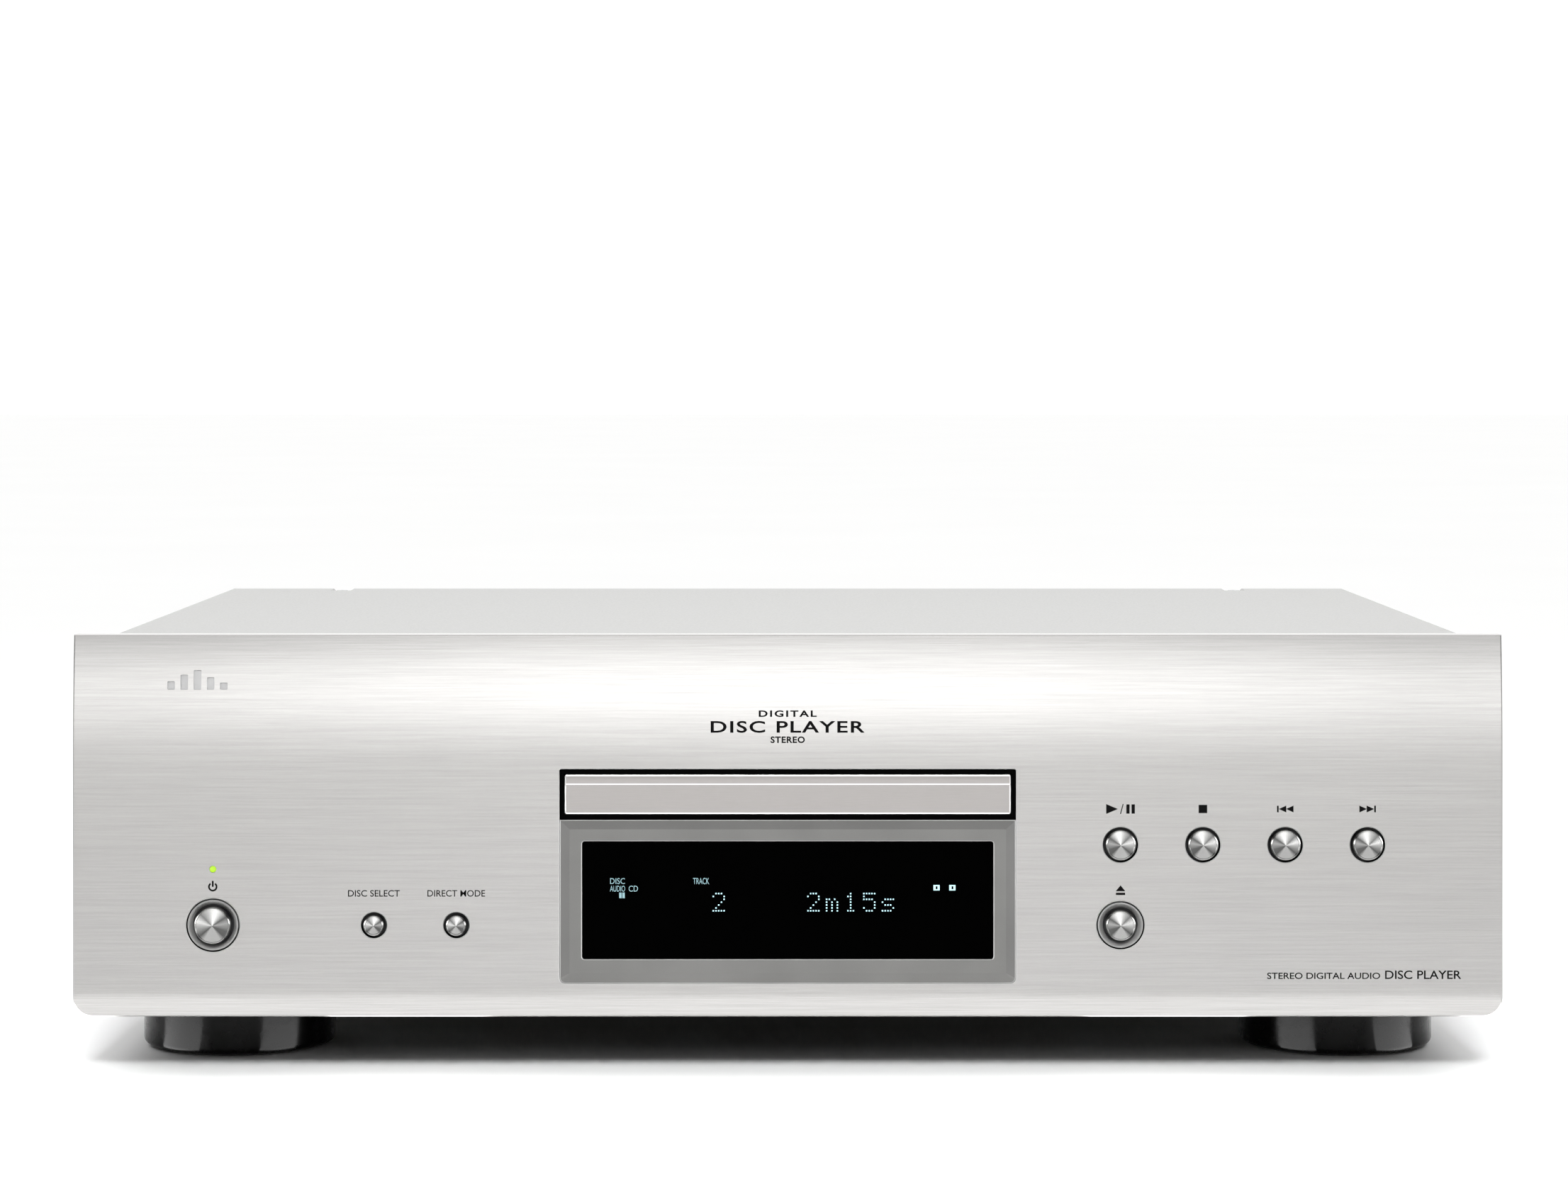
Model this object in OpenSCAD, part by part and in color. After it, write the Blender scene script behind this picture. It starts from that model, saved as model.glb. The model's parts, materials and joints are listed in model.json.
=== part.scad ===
// Full-width hi-fi disc player. Millimetres, +Z up, front faces -Y.
// The origin is the centre of the bounding box, at the level of the shelf it stands on.

/* [Case] */
// Width of the front panel
body_w = 434; // [430:1:440]
// Depth from the button faces to the ends of the rear sockets
body_d = 329; // [325:1:335]
// Height from the foot pads to the top of the front panel
body_h = 135; // [134:1:138]
// Gap from the bench to the front panel's lower edge
panel_lift = 19.1; // [18:0.1:20]
// Sheet thickness of the steel case
sheet = 1.2; // [1:0.1:1.4]
// Depth of the aluminium front panel
panel_depth = 10; // [9:0.5:10]
// Thickness of the panel behind its face
panel_skin = 4; // [3.5:0.1:4]

/* [Feet] */
// Diameter of each foot
foot_d = 61; // [50:1:64]
// Sideways distance of each foot from the centre
foot_x = 175.5; // [165:0.5:178]

/* [Controls] */
// Distance between neighbouring transport buttons
key_pitch = 25; // [24:0.5:26]
// Travel of every button
key_travel = 0.8; // [0.5:0.1:0.8]
// How far the button caps stand out of the panel
cap_proud = 1.8; // [1:0.1:2]

/* [Loader] */
// Width of the tray's front door
door_w = 135.4; // [134:0.1:136]
// Disc recess radius, for a disc of 120 mm
disc_r = 60.75; // [60.5:0.05:61]
// Module of the tray's rack and gears
tray_module = 1.2; // [1.2:0.1:1.2]
// Module of the pickup's rack and gears
sled_module = 0.6; // [0.6:0.1:0.6]

/* [Hidden] */
$fn = 64;
gap = 0.3;      // between neighbouring covers
cut = 0.5;      // how far a cutter runs past a face
hair = 0.05;    // keeps two separate solids of one node apart

// Front panel
face_y = -body_d / 2 + cap_proud;
panel_back = face_y + panel_depth;
skin_back = face_y + panel_skin;
frame_back = skin_back + 2;
flat_low = 28.4;       // the face is flat between these heights
flat_high = 96.3;
crown_r = 319;         // radius of the face above the flat
roll_r = 35;           // radius of the face below the flat
corner_r = 5.8;        // lower corners of the panel
mark_x = -188.4;       // left edge of the engraved mark
window_top = 94.37;    // opening for the tray and the display
window_split = 79.0;
window_low = 29.34;
window_w = 138.6;
glass_w = 125;
glass_low = 36.55;
glass_top = 72.38;
tray_gap_w = door_w + 0.5;
tray_gap_low = 80.5;
tray_gap_high = 92.9;

// Controls: [x, z, cap radius, hole radius]
low_row = 47;
high_row = 71.4;
power_key = [-174.5, low_row, 5.6, 8.1];
layer_key = [-125.6, low_row, 3.15, 3.85];
direct_key = [-125.6 + key_pitch, low_row, 3.15, 3.85];
play_key = [101, high_row, 4.65, 5.25];
stop_key = [101 + key_pitch, high_row, 4.65, 5.25];
previous_key = [101 + 2 * key_pitch, high_row, 4.65, 5.25];
next_key = [101 + 3 * key_pitch, high_row, 4.65, 5.25];
eject_key = [101, low_row, 4.65, 7.3];
KEYS = [power_key, layer_key, direct_key, play_key, stop_key, previous_key, next_key, eject_key];
led_z = 64;
board_y = -147;        // front face of the key boards
switch_h = 3;          // depth of a tact switch
nib_r = 1.2;

// Case
cover_x = 212.1;       // outer half width of the cover
cover_top = body_h - 2.5;
cover_corner = 1.5;    // outer bend radius of the cover
cover_front = panel_back + gap;
cover_back = 152.3;
plate_z = 20;
rear_y = cover_back - 2 * sheet - 0.1;    // inner face of the rear panel
jack_end = body_d / 2;
chassis_top = cover_top - 2.5;    // upper edges of the steel under the cover
board_low = 28.05;     // underside of the circuit boards, on their studs
board_high = 29.6;
parts_z = board_high + hair;
window_x = window_w / 2 - 0.1;    // trims in the window opening stand clear of the panel
chassis_y = -140;      // front face of the front chassis
dimple_x = 169;        // pressed recesses for the top screws
dimple_depth = 1.25;
top_screw_y = 145;
foot_front_y = face_y + 70.2;
foot_rear_y = 105;
pad_h = 1.7;           // thickness of the felt pads
FEET = [[-foot_x, foot_front_y], [foot_x, foot_front_y], [-foot_x, foot_rear_y], [foot_x, foot_rear_y]];
SIDE_SCREWS = [[-105, 34], [105, 34]];    // [y, z] on each side

// Rear sockets: [x, z]
left_jack = [162, 78];
right_jack = [138, 78];
coax_jack = [58, 74];
RCA = [left_jack, right_jack, coax_jack];
optical_at = [84, 74];
flap_y = rear_y + sheet + 1.1;    // hinge line of the optical socket's shutter
flap_z = optical_at[1] + 3.9;
REMOTE = [[18, 74], [2, 74]];
inlet_at = [-168, 72];

// Loader
spindle = [0, -93.25];
tray_low = 84.4;
tray_high = 92.2;
tray_half = 66.5;
tray_back = 35;
disc_floor = 87.3;
small_floor = 85.9;
small_disc_r = 40.75;
door_t = 3.5;
tray_front = face_y + door_t;
wall_x = 67.2;         // inner face of the loader's side walls
wall_t = 2.8;
BRACKETS = [-128, 18]; // front edges of the legs that hold the loader up
loader_front = -136;
loader_back = 45;
gear_y = -124;
rack_x = -50;          // pitch line of the tray's rack
drive_teeth = 16;
belt_teeth = 12;
drive_r = tray_module * drive_teeth / 2;
belt_pinion_r = tray_module * belt_teeth / 2;
drive_at = [rack_x + drive_r, gear_y];
belt_at = [drive_at[0] + drive_r + belt_pinion_r, gear_y];
belt_groove_r = 9.5;
motor_groove_r = 3;
motor_at = [belt_at[0] + 24, gear_y];
gear_low = 81;
gear_high = 83.9;
belt_low = 78.9;
belt_high = 80.7;

// Traverse, which carries the spindle and the pickup
hinge = [5, 76];       // [y, z] of its hinge line
lower_deg = 3.5;       // how far it swings down to let the tray pass
deck_low = 77;
deck_high = 80;
cam_x = 36;
cam_pin_z = 72;
cam_travel = 16;
cam_pin_y = -116.25;
cam_pin_r = 1.5;
cam_arm = hinge[0] - cam_pin_y;
cam_rise = hinge[1] - cam_pin_z;
cam_drop = cam_arm * sin(lower_deg) - cam_rise * (1 - cos(lower_deg));
lens_y = spindle[1] + 24;
rod_x = 24;
rod_z = 77;
sled_rack_x = -31.5;
sled_teeth = 14;
sled_wheel_teeth = 36;
sled_pinion_teeth = 12;
sled_at = [sled_rack_x - sled_module * sled_teeth / 2, -60];
sled_reach = sled_module * (sled_wheel_teeth + sled_pinion_teeth) / 2;
sled_turn = -110;      // direction from the sled gear to the motor pinion
sled_motor_at = [sled_at[0] + sled_reach * cos(sled_turn), sled_at[1] + sled_reach * sin(sled_turn)];

// Gear teeth
pressure_deg = 25;
tip_share = 0.8;       // tooth tip and root, in modules
root_share = 1.05;
backlash = 0.12;

// ---------- shared shapes ----------

module box(low, high) translate(low) cube(high - low);

// A box from x0 out to x1 on the right, or its mirror image on the left
module side_box(side, x0, x1, y, z)
    box([side > 0 ? x0 : -x1, y[0], z[0]], [side > 0 ? x1 : -x0, y[1], z[1]]);

// A 2-D shape in X and Z, from y0 back to y1
module plate_xz(y0, y1) translate([0, y1, 0]) rotate([90, 0, 0]) linear_extrude(y1 - y0) children();

// A 2-D shape in Y and Z, centred on x = 0
module bar_yz(w) rotate([90, 0, 90]) linear_extrude(w, center = true) children();

// A cylinder along Y
module rod_y(x, z, r, y0, y1, r2 = 0)
    translate([x, y0, z]) rotate([-90, 0, 0]) cylinder(h = y1 - y0, r1 = r, r2 = r2 > 0 ? r2 : r);

// A rectangle with one radius for its lower corners and another for its upper ones
module round_rect(x0, x1, z0, z1, r_low, r_top) difference() {
    translate([x0, z0]) square([x1 - x0, z1 - z0]);
    for (side = [1, -1]) {
        x = side > 0 ? x0 : x1;
        translate([x, z0]) corner_loss(side, 1, r_low);
        translate([x, z1]) corner_loss(side, -1, r_top);
    }
}

// What a corner of radius r loses
module corner_loss(sx, sy, r) difference() {
    translate([sx > 0 ? -cut : -r, sy > 0 ? -cut : -r]) square(r + cut);
    translate([sx * r, sy * r]) circle(r);
}

function involute_angle(x) = tan(x) * 180 / PI - x;

// Half of a tooth's angle at radius r
function half_tooth(r, teeth, m) =
    let (pitch = m * teeth / 2, base = pitch * cos(pressure_deg))
    (90 / teeth) - (backlash / 4 / pitch) * 180 / PI + involute_angle(pressure_deg)
        - (r > base ? involute_angle(acos(base / r)) : 0);

// Outline of a spur gear with a tooth at phase degrees
function gear_outline(teeth, m, phase) =
    let (pitch = m * teeth / 2, root = pitch - root_share * m, tip = pitch + tip_share * m,
         base = max(root + 0.01, pitch * cos(pressure_deg)), steps = 4)
    [for (t = [0:teeth - 1]) let (mid = phase + t * 360 / teeth)
        each concat(
            [polar(root, mid - half_tooth(base, teeth, m))],
            [for (s = [0:steps]) let (r = base + (tip - base) * s / steps)
                polar(r, mid - half_tooth(r, teeth, m))],
            [for (s = [steps:-1:0]) let (r = base + (tip - base) * s / steps)
                polar(r, mid + half_tooth(r, teeth, m))],
            [polar(root, mid + half_tooth(base, teeth, m))])];

function polar(r, a) = [r * cos(a), r * sin(a)];

// The phase that puts a gear in mesh with a neighbour in direction a
function mesh_phase(teeth, a, other_teeth, other_phase) =
    a - (180 + (other_phase - a - 180) * other_teeth) / teeth;

module gear(teeth, m, phase, low, high, bore)
    translate([0, 0, low]) linear_extrude(high - low) difference() {
        polygon(gear_outline(teeth, m, phase));
        if (bore > 0) circle(bore);
    }

// Rack teeth along Y with a gap at y_mesh: side is +1 if they point to +X
module rack_teeth(x_pitch, y_mesh, first, last, m, side, low, high) {
    pitch = PI * m;
    slope = tan(pressure_deg);
    half = pitch / 4 - backlash / 4;
    translate([0, 0, low]) linear_extrude(high - low)
        for (k = [first:last])
            translate([x_pitch, y_mesh + (k + 0.5) * pitch])
                polygon([[-side * root_share * m - side * 0.2, -half - root_share * m * slope],
                    [side * tip_share * m, -half + tip_share * m * slope],
                    [side * tip_share * m, half - tip_share * m * slope],
                    [-side * root_share * m - side * 0.2, half + root_share * m * slope]]);
}

// ---------- front ----------

// Side outline of the panel: a flat face that rolls back above and below
function face_at(z) = z > flat_high ? face_y + crown_r - sqrt(pow(crown_r, 2) - pow(z - flat_high, 2))
    : z < flat_low ? face_y + roll_r - sqrt(pow(roll_r, 2) - pow(flat_low - z, 2)) : face_y;

module panel_side() {
    lip = 0.5;
    steps = 14;
    top = body_h - lip;
    roll_steps = 7;
    polygon(concat(
        [for (s = [0:roll_steps]) let (z = panel_lift + (flat_low - panel_lift) * s / roll_steps)
            [face_at(z), z]],
        [for (s = [0:steps]) let (z = flat_high + (top - flat_high) * s / steps) [face_at(z), z]],
        [[face_at(body_h) + lip, body_h], [panel_back, body_h], [panel_back, panel_lift]]));
}

// Plain engraved mark: five level bars
module emblem() {
    bar_heights = [2.4, 4.4, 5.8, 3.6, 2.0];
    bar_w = 2.2;
    bar_pitch = 4;
    bar_low = 118.5;
    bar_back = face_at(bar_low + 2.5) + 0.5;
    for (i = [0:len(bar_heights) - 1]) {
        x = mark_x + i * bar_pitch;
        box([x, face_y - 1, bar_low], [x + bar_w, bar_back, bar_low + bar_heights[i]]);
    }
}

module front_panel() color("silver") difference() {
    intersection() {
        bar_yz(body_w) panel_side();
        plate_xz(face_y - 1, panel_back + 1)
            round_rect(-body_w / 2, body_w / 2, panel_lift, body_h, corner_r, 0.5);
    }
    box([-body_w / 2 + 6, skin_back, panel_lift + 5], [body_w / 2 - 6, panel_back + cut, body_h - 5]);
    plate_xz(face_y - 1, panel_back)
        round_rect(-window_w / 2, window_w / 2, window_low, window_top, 1.7, 0.6);
    for (k = KEYS) rod_y(k[0], k[1], k[3], face_y - 1, panel_back);
    rod_y(power_key[0], led_z, 1.2, face_y - 1, panel_back);
    emblem();
}

// Plastic sub-frame: a plate behind the panel's skin, a rim inside its edges and posts to the chassis
module front_frame() color("dimgray") {
    plate_low = panel_lift + 5.4;
    plate_high = body_h - 5.4;
    plate_x = body_w / 2 - 6.4;
    difference() {
        box([-plate_x, skin_back + hair, plate_low], [plate_x, frame_back, plate_high]);
        box([-window_w / 2 - 0.6, skin_back - 1, window_low + 3],
            [window_w / 2 + 0.6, frame_back + 1, window_top + 0.4]);
        for (k = KEYS) rod_y(k[0], k[1], k[2] - 0.25, face_y, frame_back + 1);
        rod_y(power_key[0], led_z, 1.3, face_y, frame_back + 1);
    }
    difference() {
        box([-plate_x, frame_back - hair, plate_low], [plate_x, panel_back, plate_high]);
        box([-plate_x + 2, frame_back - 1, plate_low + 2], [plate_x - 2, panel_back + 1, plate_high - 2]);
    }
    for (x = [-203, -74.5, 74.5, 203], z = [30, 122]) rod_y(x, z, 3, frame_back - hair, chassis_y);
}

// Black frame round the tray's opening, as deep as the loader
module tray_surround() color("black") difference() {
    plate_xz(face_y, -150)
        round_rect(-window_x, window_x, window_split, window_top - 0.1, 0.02, 0.6);
    box([-tray_gap_w / 2, face_y - 1, tray_gap_low], [tray_gap_w / 2, -149, tray_gap_high]);
}

// Grey trim under the tray, dished towards the display's glass
module display_bezel() color("gray") difference() {
    dish_over = 0.8;
    dish_x = window_w / 2 + dish_over;
    plate_xz(face_y + 0.05, skin_back)
        round_rect(-window_x, window_x, window_low + 0.1, window_split - hair, 1.6, 0.02);
    plate_xz(face_y - 1, face_y + 6) round_rect(-glass_w / 2, glass_w / 2, glass_low, glass_top, 0.8, 0.8);
    // shallow dish round the glass
    hull() {
        plate_xz(face_y - 0.6, face_y - 0.5)
            round_rect(-dish_x, dish_x, window_low - dish_over, window_split + dish_over, 1.7, 0.6);
        plate_xz(face_y + 0.9, face_y + 1)
            round_rect(-window_w / 2 + 3, window_w / 2 - 3, window_low + 3, window_split - 3, 0.8, 0.8);
    }
}

// Dark glass in front of the display
module display_window() color([0.02, 0.02, 0.02])
    plate_xz(face_y + 1.1, face_y + 4.1)
        round_rect(-glass_w / 2 + 0.05, glass_w / 2 - 0.05, glass_low + 0.05, glass_top - 0.05, 0.75, 0.75);

// Fluorescent display tube on its circuit board, with its row of pins
module display_board() color("darkgreen") {
    box([-52, face_y + 6.5, 40], [52, face_y + 12.5, 69]);
    box([-68, board_y - 1.5, 31], [68, board_y, 77]);
    for (x = [-48:6:48]) rod_y(x, 38.6, 0.35, face_y + 10, board_y - 1.5 - hair);
}

// A dished ring round a recessed button
module dished_ring(k) translate([k[0], face_y, k[1]]) rotate([-90, 0, 0]) rotate_extrude()
    polygon([[k[3] - 0.1, 0.1], [k[3] - 0.4, 0.1], [k[2] + 1.4, 1.4], [k[2] + 1.0, 1.8],
        [k[2] + 1.0, panel_skin], [k[3] - 0.1, panel_skin]]);

module power_ring() color("dimgray") dished_ring(power_key);
module eject_ring() color("dimgray") dished_ring(eject_key);

// Light pipe from the panel to its lamp on the key board
module power_led() color("yellowgreen") {
    rod_y(power_key[0], led_z, 1.15, face_y - 0.1, board_y - 2);
    box([power_key[0] - 1.5, board_y - 2 + hair, led_z - 1.5],
        [power_key[0] + 1.5, board_y - hair, led_z + 1.5]);
}

// Aluminium cap, and behind it the plastic pusher that works the switch
module key(k) {
    body_d0 = face_y - cap_proud;
    stop = board_y - switch_h;
    color("lightgray") {
        rod_y(k[0], k[1], k[2] - 0.35, body_d0, body_d0 + 0.35, k[2]);
        rod_y(k[0], k[1], k[2], body_d0 + 0.35 - 0.01, skin_back - 1.2);
    }
    color("black") {
        rod_y(k[0], k[1], k[2] - 0.5, skin_back - 1.2 + hair, frame_back + 0.4);
        rod_y(k[0], k[1], k[2] + 1, frame_back + 0.39, frame_back + 1.4);
        rod_y(k[0], k[1], 2, frame_back + 1.39, stop - key_travel - 0.15);
        rod_y(k[0], k[1], nib_r, stop - key_travel - 0.2, stop + 0.4);
    }
}

// Push switches, each with a recess for the nib of its pusher
module tact_switches() color("gray") for (k = KEYS) difference() {
    box([k[0] - 3, board_y - switch_h, k[1] - 3], [k[0] + 3, board_y, k[1] + 3]);
    rod_y(k[0], k[1], nib_r + 0.2, board_y - switch_h - 1, board_y - 1);
}

module key_boards() color("darkgreen") {
    box([-197, board_y + hair, 31], [-80, board_y + 1.6, 76]);
    box([80, board_y + hair, 31], [197, board_y + 1.6, 84]);
}

// ---------- case ----------

// Section of the folded cover, from under the plate's level up
module cover_profile(inset) round_rect(-cover_x + inset, cover_x - inset,
    plate_z - 10, cover_top - inset, 0.1, cover_corner - inset);

module side_holes(r) for (side = [-1, 1], s = SIDE_SCREWS)
    translate([side * (cover_x - 2), s[0], s[1]])
        rotate([0, side * 90, 0]) cylinder(h = 6, r = r, center = true);

// A pressed recess, open at the rear edge, for a top screw
module dimple(x) {
    floor_z = cover_top - dimple_depth;
    plate_xz(top_screw_y - 5.5, cover_back + 1) translate([x, floor_z])
        polygon([[-2.6, 0], [2.6, 0], [4.6, 2], [-4.6, 2]]);
}

module top_cover() color("lightgray") difference() {
    union() {
        difference() {
            plate_xz(cover_front, cover_back) cover_profile(0);
            plate_xz(cover_front - 1, cover_back + 1) cover_profile(sheet);
            box([-250, -200, -10], [250, 200, plate_z + 1]);
        }
        box([-cover_x + 3, cover_back - sheet, cover_top - 6.2],
            [cover_x - 3, cover_back, cover_top - sheet + 0.01]);
        for (x = [-dimple_x, dimple_x])
            box([x - 6, top_screw_y - 7, cover_top - dimple_depth - sheet],
                [x + 6, cover_back - sheet + 0.01, cover_top - sheet + 0.01]);
    }
    for (x = [-dimple_x, dimple_x]) {
        dimple(x);
        translate([x, top_screw_y, cover_top - 5]) cylinder(h = 6, r = 1.7);
    }
    side_holes(2.1);
}

// Where the circuit boards are held up: [x, y]
board_studs = [for (x = [-196, -100], y = [40, 130]) [x, y],
    each [for (x = [94, 196], y = [-112, 130]) [x, y]],
    each [for (x = [-80, 80], y = [60, 130]) [x, y]]];

module bottom_plate() color("gray") {
    side_x = cover_x - sheet - gap;
    difference() {
        union() {
            box([-side_x, cover_front + 0.4, plate_z], [side_x, rear_y - 0.1, plate_z + sheet]);
            for (side = [-1, 1])
                box([side > 0 ? side_x - sheet : -side_x, cover_front + 2, plate_z + 0.5],
                    [side > 0 ? side_x : -side_x + sheet, rear_y - 0.1, plate_z + 20]);
        }
        for (p = FEET) translate([p[0], p[1], plate_z - 1]) cylinder(h = 4, r = 2.2);
        // air slots under the boards
        for (x = [-138:7:-96], y = [48, 92]) box([x - 1.5, y, plate_z - 1], [x + 1.5, y + 34, plate_z + 3]);
        for (x = [106:7:186], y = [-30, 12]) box([x - 1.5, y, plate_z - 1], [x + 1.5, y + 34, plate_z + 3]);
        side_holes(1.5);
    }
}

// Rear panel with inward flanges above and below, and its socket holes
module rear_panel() color("silver") difference() {
    side_x = cover_x - sheet - gap;
    union() {
        box([-side_x, rear_y, plate_z], [side_x, rear_y + sheet, chassis_top]);
        box([-side_x + 1, rear_y - 14, chassis_top - sheet], [side_x - 1, rear_y + 0.01, chassis_top]);
        box([-side_x + 2, rear_y - 12, plate_z + sheet + hair],
            [side_x - 2, rear_y + 0.01, plate_z + 2 * sheet + hair]);
    }
    for (x = [-dimple_x, dimple_x]) translate([x, top_screw_y, cover_top - 6]) cylinder(h = 6, r = 1.25);
    for (j = RCA) rod_y(j[0], j[1], 4.2, rear_y - 1, rear_y + 3);
    for (j = REMOTE) rod_y(j[0], j[1], 3, rear_y - 1, rear_y + 3);
    rear_cutout(optical_at, 6, 6);
    rear_cutout(inlet_at, 14, 10.2);
}

// A rectangular hole through the rear panel
module rear_cutout(at, half_w, half_h)
    box([at[0] - half_w, rear_y - 1, at[1] - half_h], [at[0] + half_w, rear_y + 3, at[1] + half_h]);

// Steel channel behind the front panel, open for the tray and for the cables
module front_chassis() color("gray") difference() {
    side_x = cover_x - sheet - gap - 2 * sheet;
    low = plate_z + sheet + hair;
    flange = 12;
    union() {
        box([-side_x, chassis_y, low], [side_x, chassis_y + sheet, chassis_top]);
        box([-side_x, chassis_y, low], [side_x, chassis_y + flange, low + sheet]);
        box([-side_x, chassis_y, chassis_top - sheet], [side_x, chassis_y + flange, chassis_top]);
    }
    box([-72, chassis_y - 2, 76], [72, chassis_y + 10, 98]);
    for (x = [-150, 150]) box([x - 15, chassis_y - 2, 50], [x + 15, chassis_y + 2, 58]);
}

// ---------- feet ----------

// A turned foot: hollow from above, with a boss for its screw and a groove for its pad
module foot(p) color([0.03, 0.03, 0.03]) translate([p[0], p[1], 0]) rotate_extrude($fn = 96) {
    r = foot_d / 2;
    wall = 3;
    rim_z = 0.6;
    polygon([[2.2, 12], [7, 12], [7, rim_z], [14.8, rim_z], [14.8, pad_h], [26.2, pad_h], [26.2, rim_z],
        [r - 1.7, rim_z], [r, 1.9], [r, plate_z], [r - wall, plate_z], [r - wall, 4.6],
        [10, 4.6], [10, plate_z], [2.2, plate_z]]);
}

// Felt rings under the feet
module foot_pads() color([0.15, 0.15, 0.15]) for (p = FEET) translate([p[0], p[1], 0])
    linear_extrude(pad_h) difference() {
        circle(26, $fn = 96);
        circle(15);
    }

// Pan-head screw: head at the origin, shank along +Z
module screw(head_r, head_h, shank_r, shank_l) {
    difference() {
        cylinder(h = head_h, r1 = head_r - 0.4, r2 = head_r);
        for (a = [0, 90]) rotate(a) translate([-head_r * 0.55, -0.4, -1]) cube([head_r * 1.1, 0.8, 1.9]);
    }
    translate([0, 0, head_h - 0.01]) cylinder(h = shank_l, r = shank_r);
}

// Screws that hold the feet, and the studs that the boards stand on
module base_fixings() color("gray") {
    for (p = FEET) translate([p[0], p[1], 9.4]) screw(4.2, 2.6, 2, 13);
    for (p = board_studs) translate([p[0], p[1], plate_z + sheet + hair]) cylinder(h = 6.75, r = 2.5);
}

module cover_screws() color("dimgray") {
    for (side = [-1, 1], s = SIDE_SCREWS)
        translate([side * (cover_x + 2.2), s[0], s[1]]) rotate([0, -side * 90, 0]) screw(3.6, 2.2, 1.45, 6);
    for (x = [-dimple_x, dimple_x])
        translate([x, top_screw_y, cover_top - dimple_depth + 1.1])
            rotate([180, 0, 0]) screw(2.5, 1.1, 1.2, 5);
}

// ---------- rear sockets ----------

// Phono sockets: plated shells, each with a hexagonal nut
module rca_shells() color("gold") for (j = RCA) difference() {
    union() {
        rod_y(j[0], j[1], 4.15, rear_y - 4, jack_end);
        translate([j[0], rear_y + sheet, j[1]]) rotate([-90, 0, 0]) cylinder(h = 2.6, r = 6.4, $fn = 6);
    }
    rod_y(j[0], j[1], 3.5, rear_y - 5, jack_end + 1);
}

// Insulators inside the shells, with the hole for the plug's pin
module rca_inserts() color("white") for (j = RCA) difference() {
    union() {
        rod_y(j[0], j[1], 3.45, rear_y - 6, jack_end - 0.8);
        box([j[0] - 5.5, rear_y - 14, j[1] - 6], [j[0] + 5.5, rear_y - 4.05, j[1] + 6]);
    }
    rod_y(j[0], j[1], 1.6, jack_end - 12, jack_end + 1);
}

// Square optical socket
module optical_output() color([0.08, 0.08, 0.08]) difference() {
    x = optical_at[0];
    z = optical_at[1];
    union() {
        box([x - 5.9, rear_y - 12, z - 5.9], [x + 5.9, rear_y + sheet + 0.01, z + 5.9]);
        box([x - 7.5, rear_y + sheet, z - 7.2], [x + 7.5, rear_y + sheet + 2, z + 7.2]);
    }
    box([x - 4.6, rear_y - 8, z - 4.4], [x + 4.6, rear_y + sheet + 3, z + 4.9]);
    translate([x, flap_y, flap_z]) rotate([0, 90, 0]) cylinder(h = 10.6, r = 0.65, center = true);
}

// Sprung shutter of the optical socket, hung from a pin along its top edge
module optical_flap() color([0.2, 0.2, 0.2]) {
    x = optical_at[0];
    translate([x, flap_y, flap_z]) rotate([0, 90, 0]) cylinder(h = 10.2, r = 0.6, center = true);
    box([x - 4.25, flap_y - 0.4, optical_at[1] - 4.05], [x + 4.25, flap_y + 0.4, flap_z]);
}

// Two 3.5 mm jacks
module remote_jacks() color([0.1, 0.1, 0.1]) for (j = REMOTE) difference() {
    union() {
        rod_y(j[0], j[1], 2.95, rear_y - 1, rear_y + sheet + 1.5);
        translate([j[0], rear_y + sheet, j[1]]) rotate([-90, 0, 0]) cylinder(h = 1.2, r = 4.4, $fn = 6);
        box([j[0] - 4, rear_y - 13, j[1] - 4.5], [j[0] + 4, rear_y - 0.5, j[1] + 4.5]);
    }
    rod_y(j[0], j[1], 1.8, rear_y - 12.5, rear_y + 5);
}

// A rectangle with its two upper corners cut off
module inlet_outline(half_w, half_h, bevel) polygon([[-half_w, -half_h], [half_w, -half_h],
    [half_w, half_h - bevel], [half_w - bevel, half_h],
    [-half_w + bevel, half_h], [-half_w, half_h - bevel]]);

// Two-pin mains inlet
module ac_inlet() translate([inlet_at[0], 0, inlet_at[1]]) {
    color([0.05, 0.05, 0.05]) difference() {
        union() {
            plate_xz(rear_y - 16, rear_y + sheet + 0.01) inlet_outline(13.9, 10.1, 5);
            plate_xz(rear_y + sheet, rear_y + sheet + 2.4) round_rect(-25, 25, -11.5, 11.5, 3, 3);
        }
        plate_xz(rear_y - 13, rear_y + sheet + 3) inlet_outline(12, 8.2, 4.5);
        for (x = [-20, 20]) rod_y(x, 0, 1.7, rear_y - 1, rear_y + 5);
    }
    color("silver") for (x = [-7, 7])
        box([x - 1, rear_y - 13 + hair, -2], [x + 1, rear_y + sheet - 1.5, 2]);
}

// ---------- disc loader ----------

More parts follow.
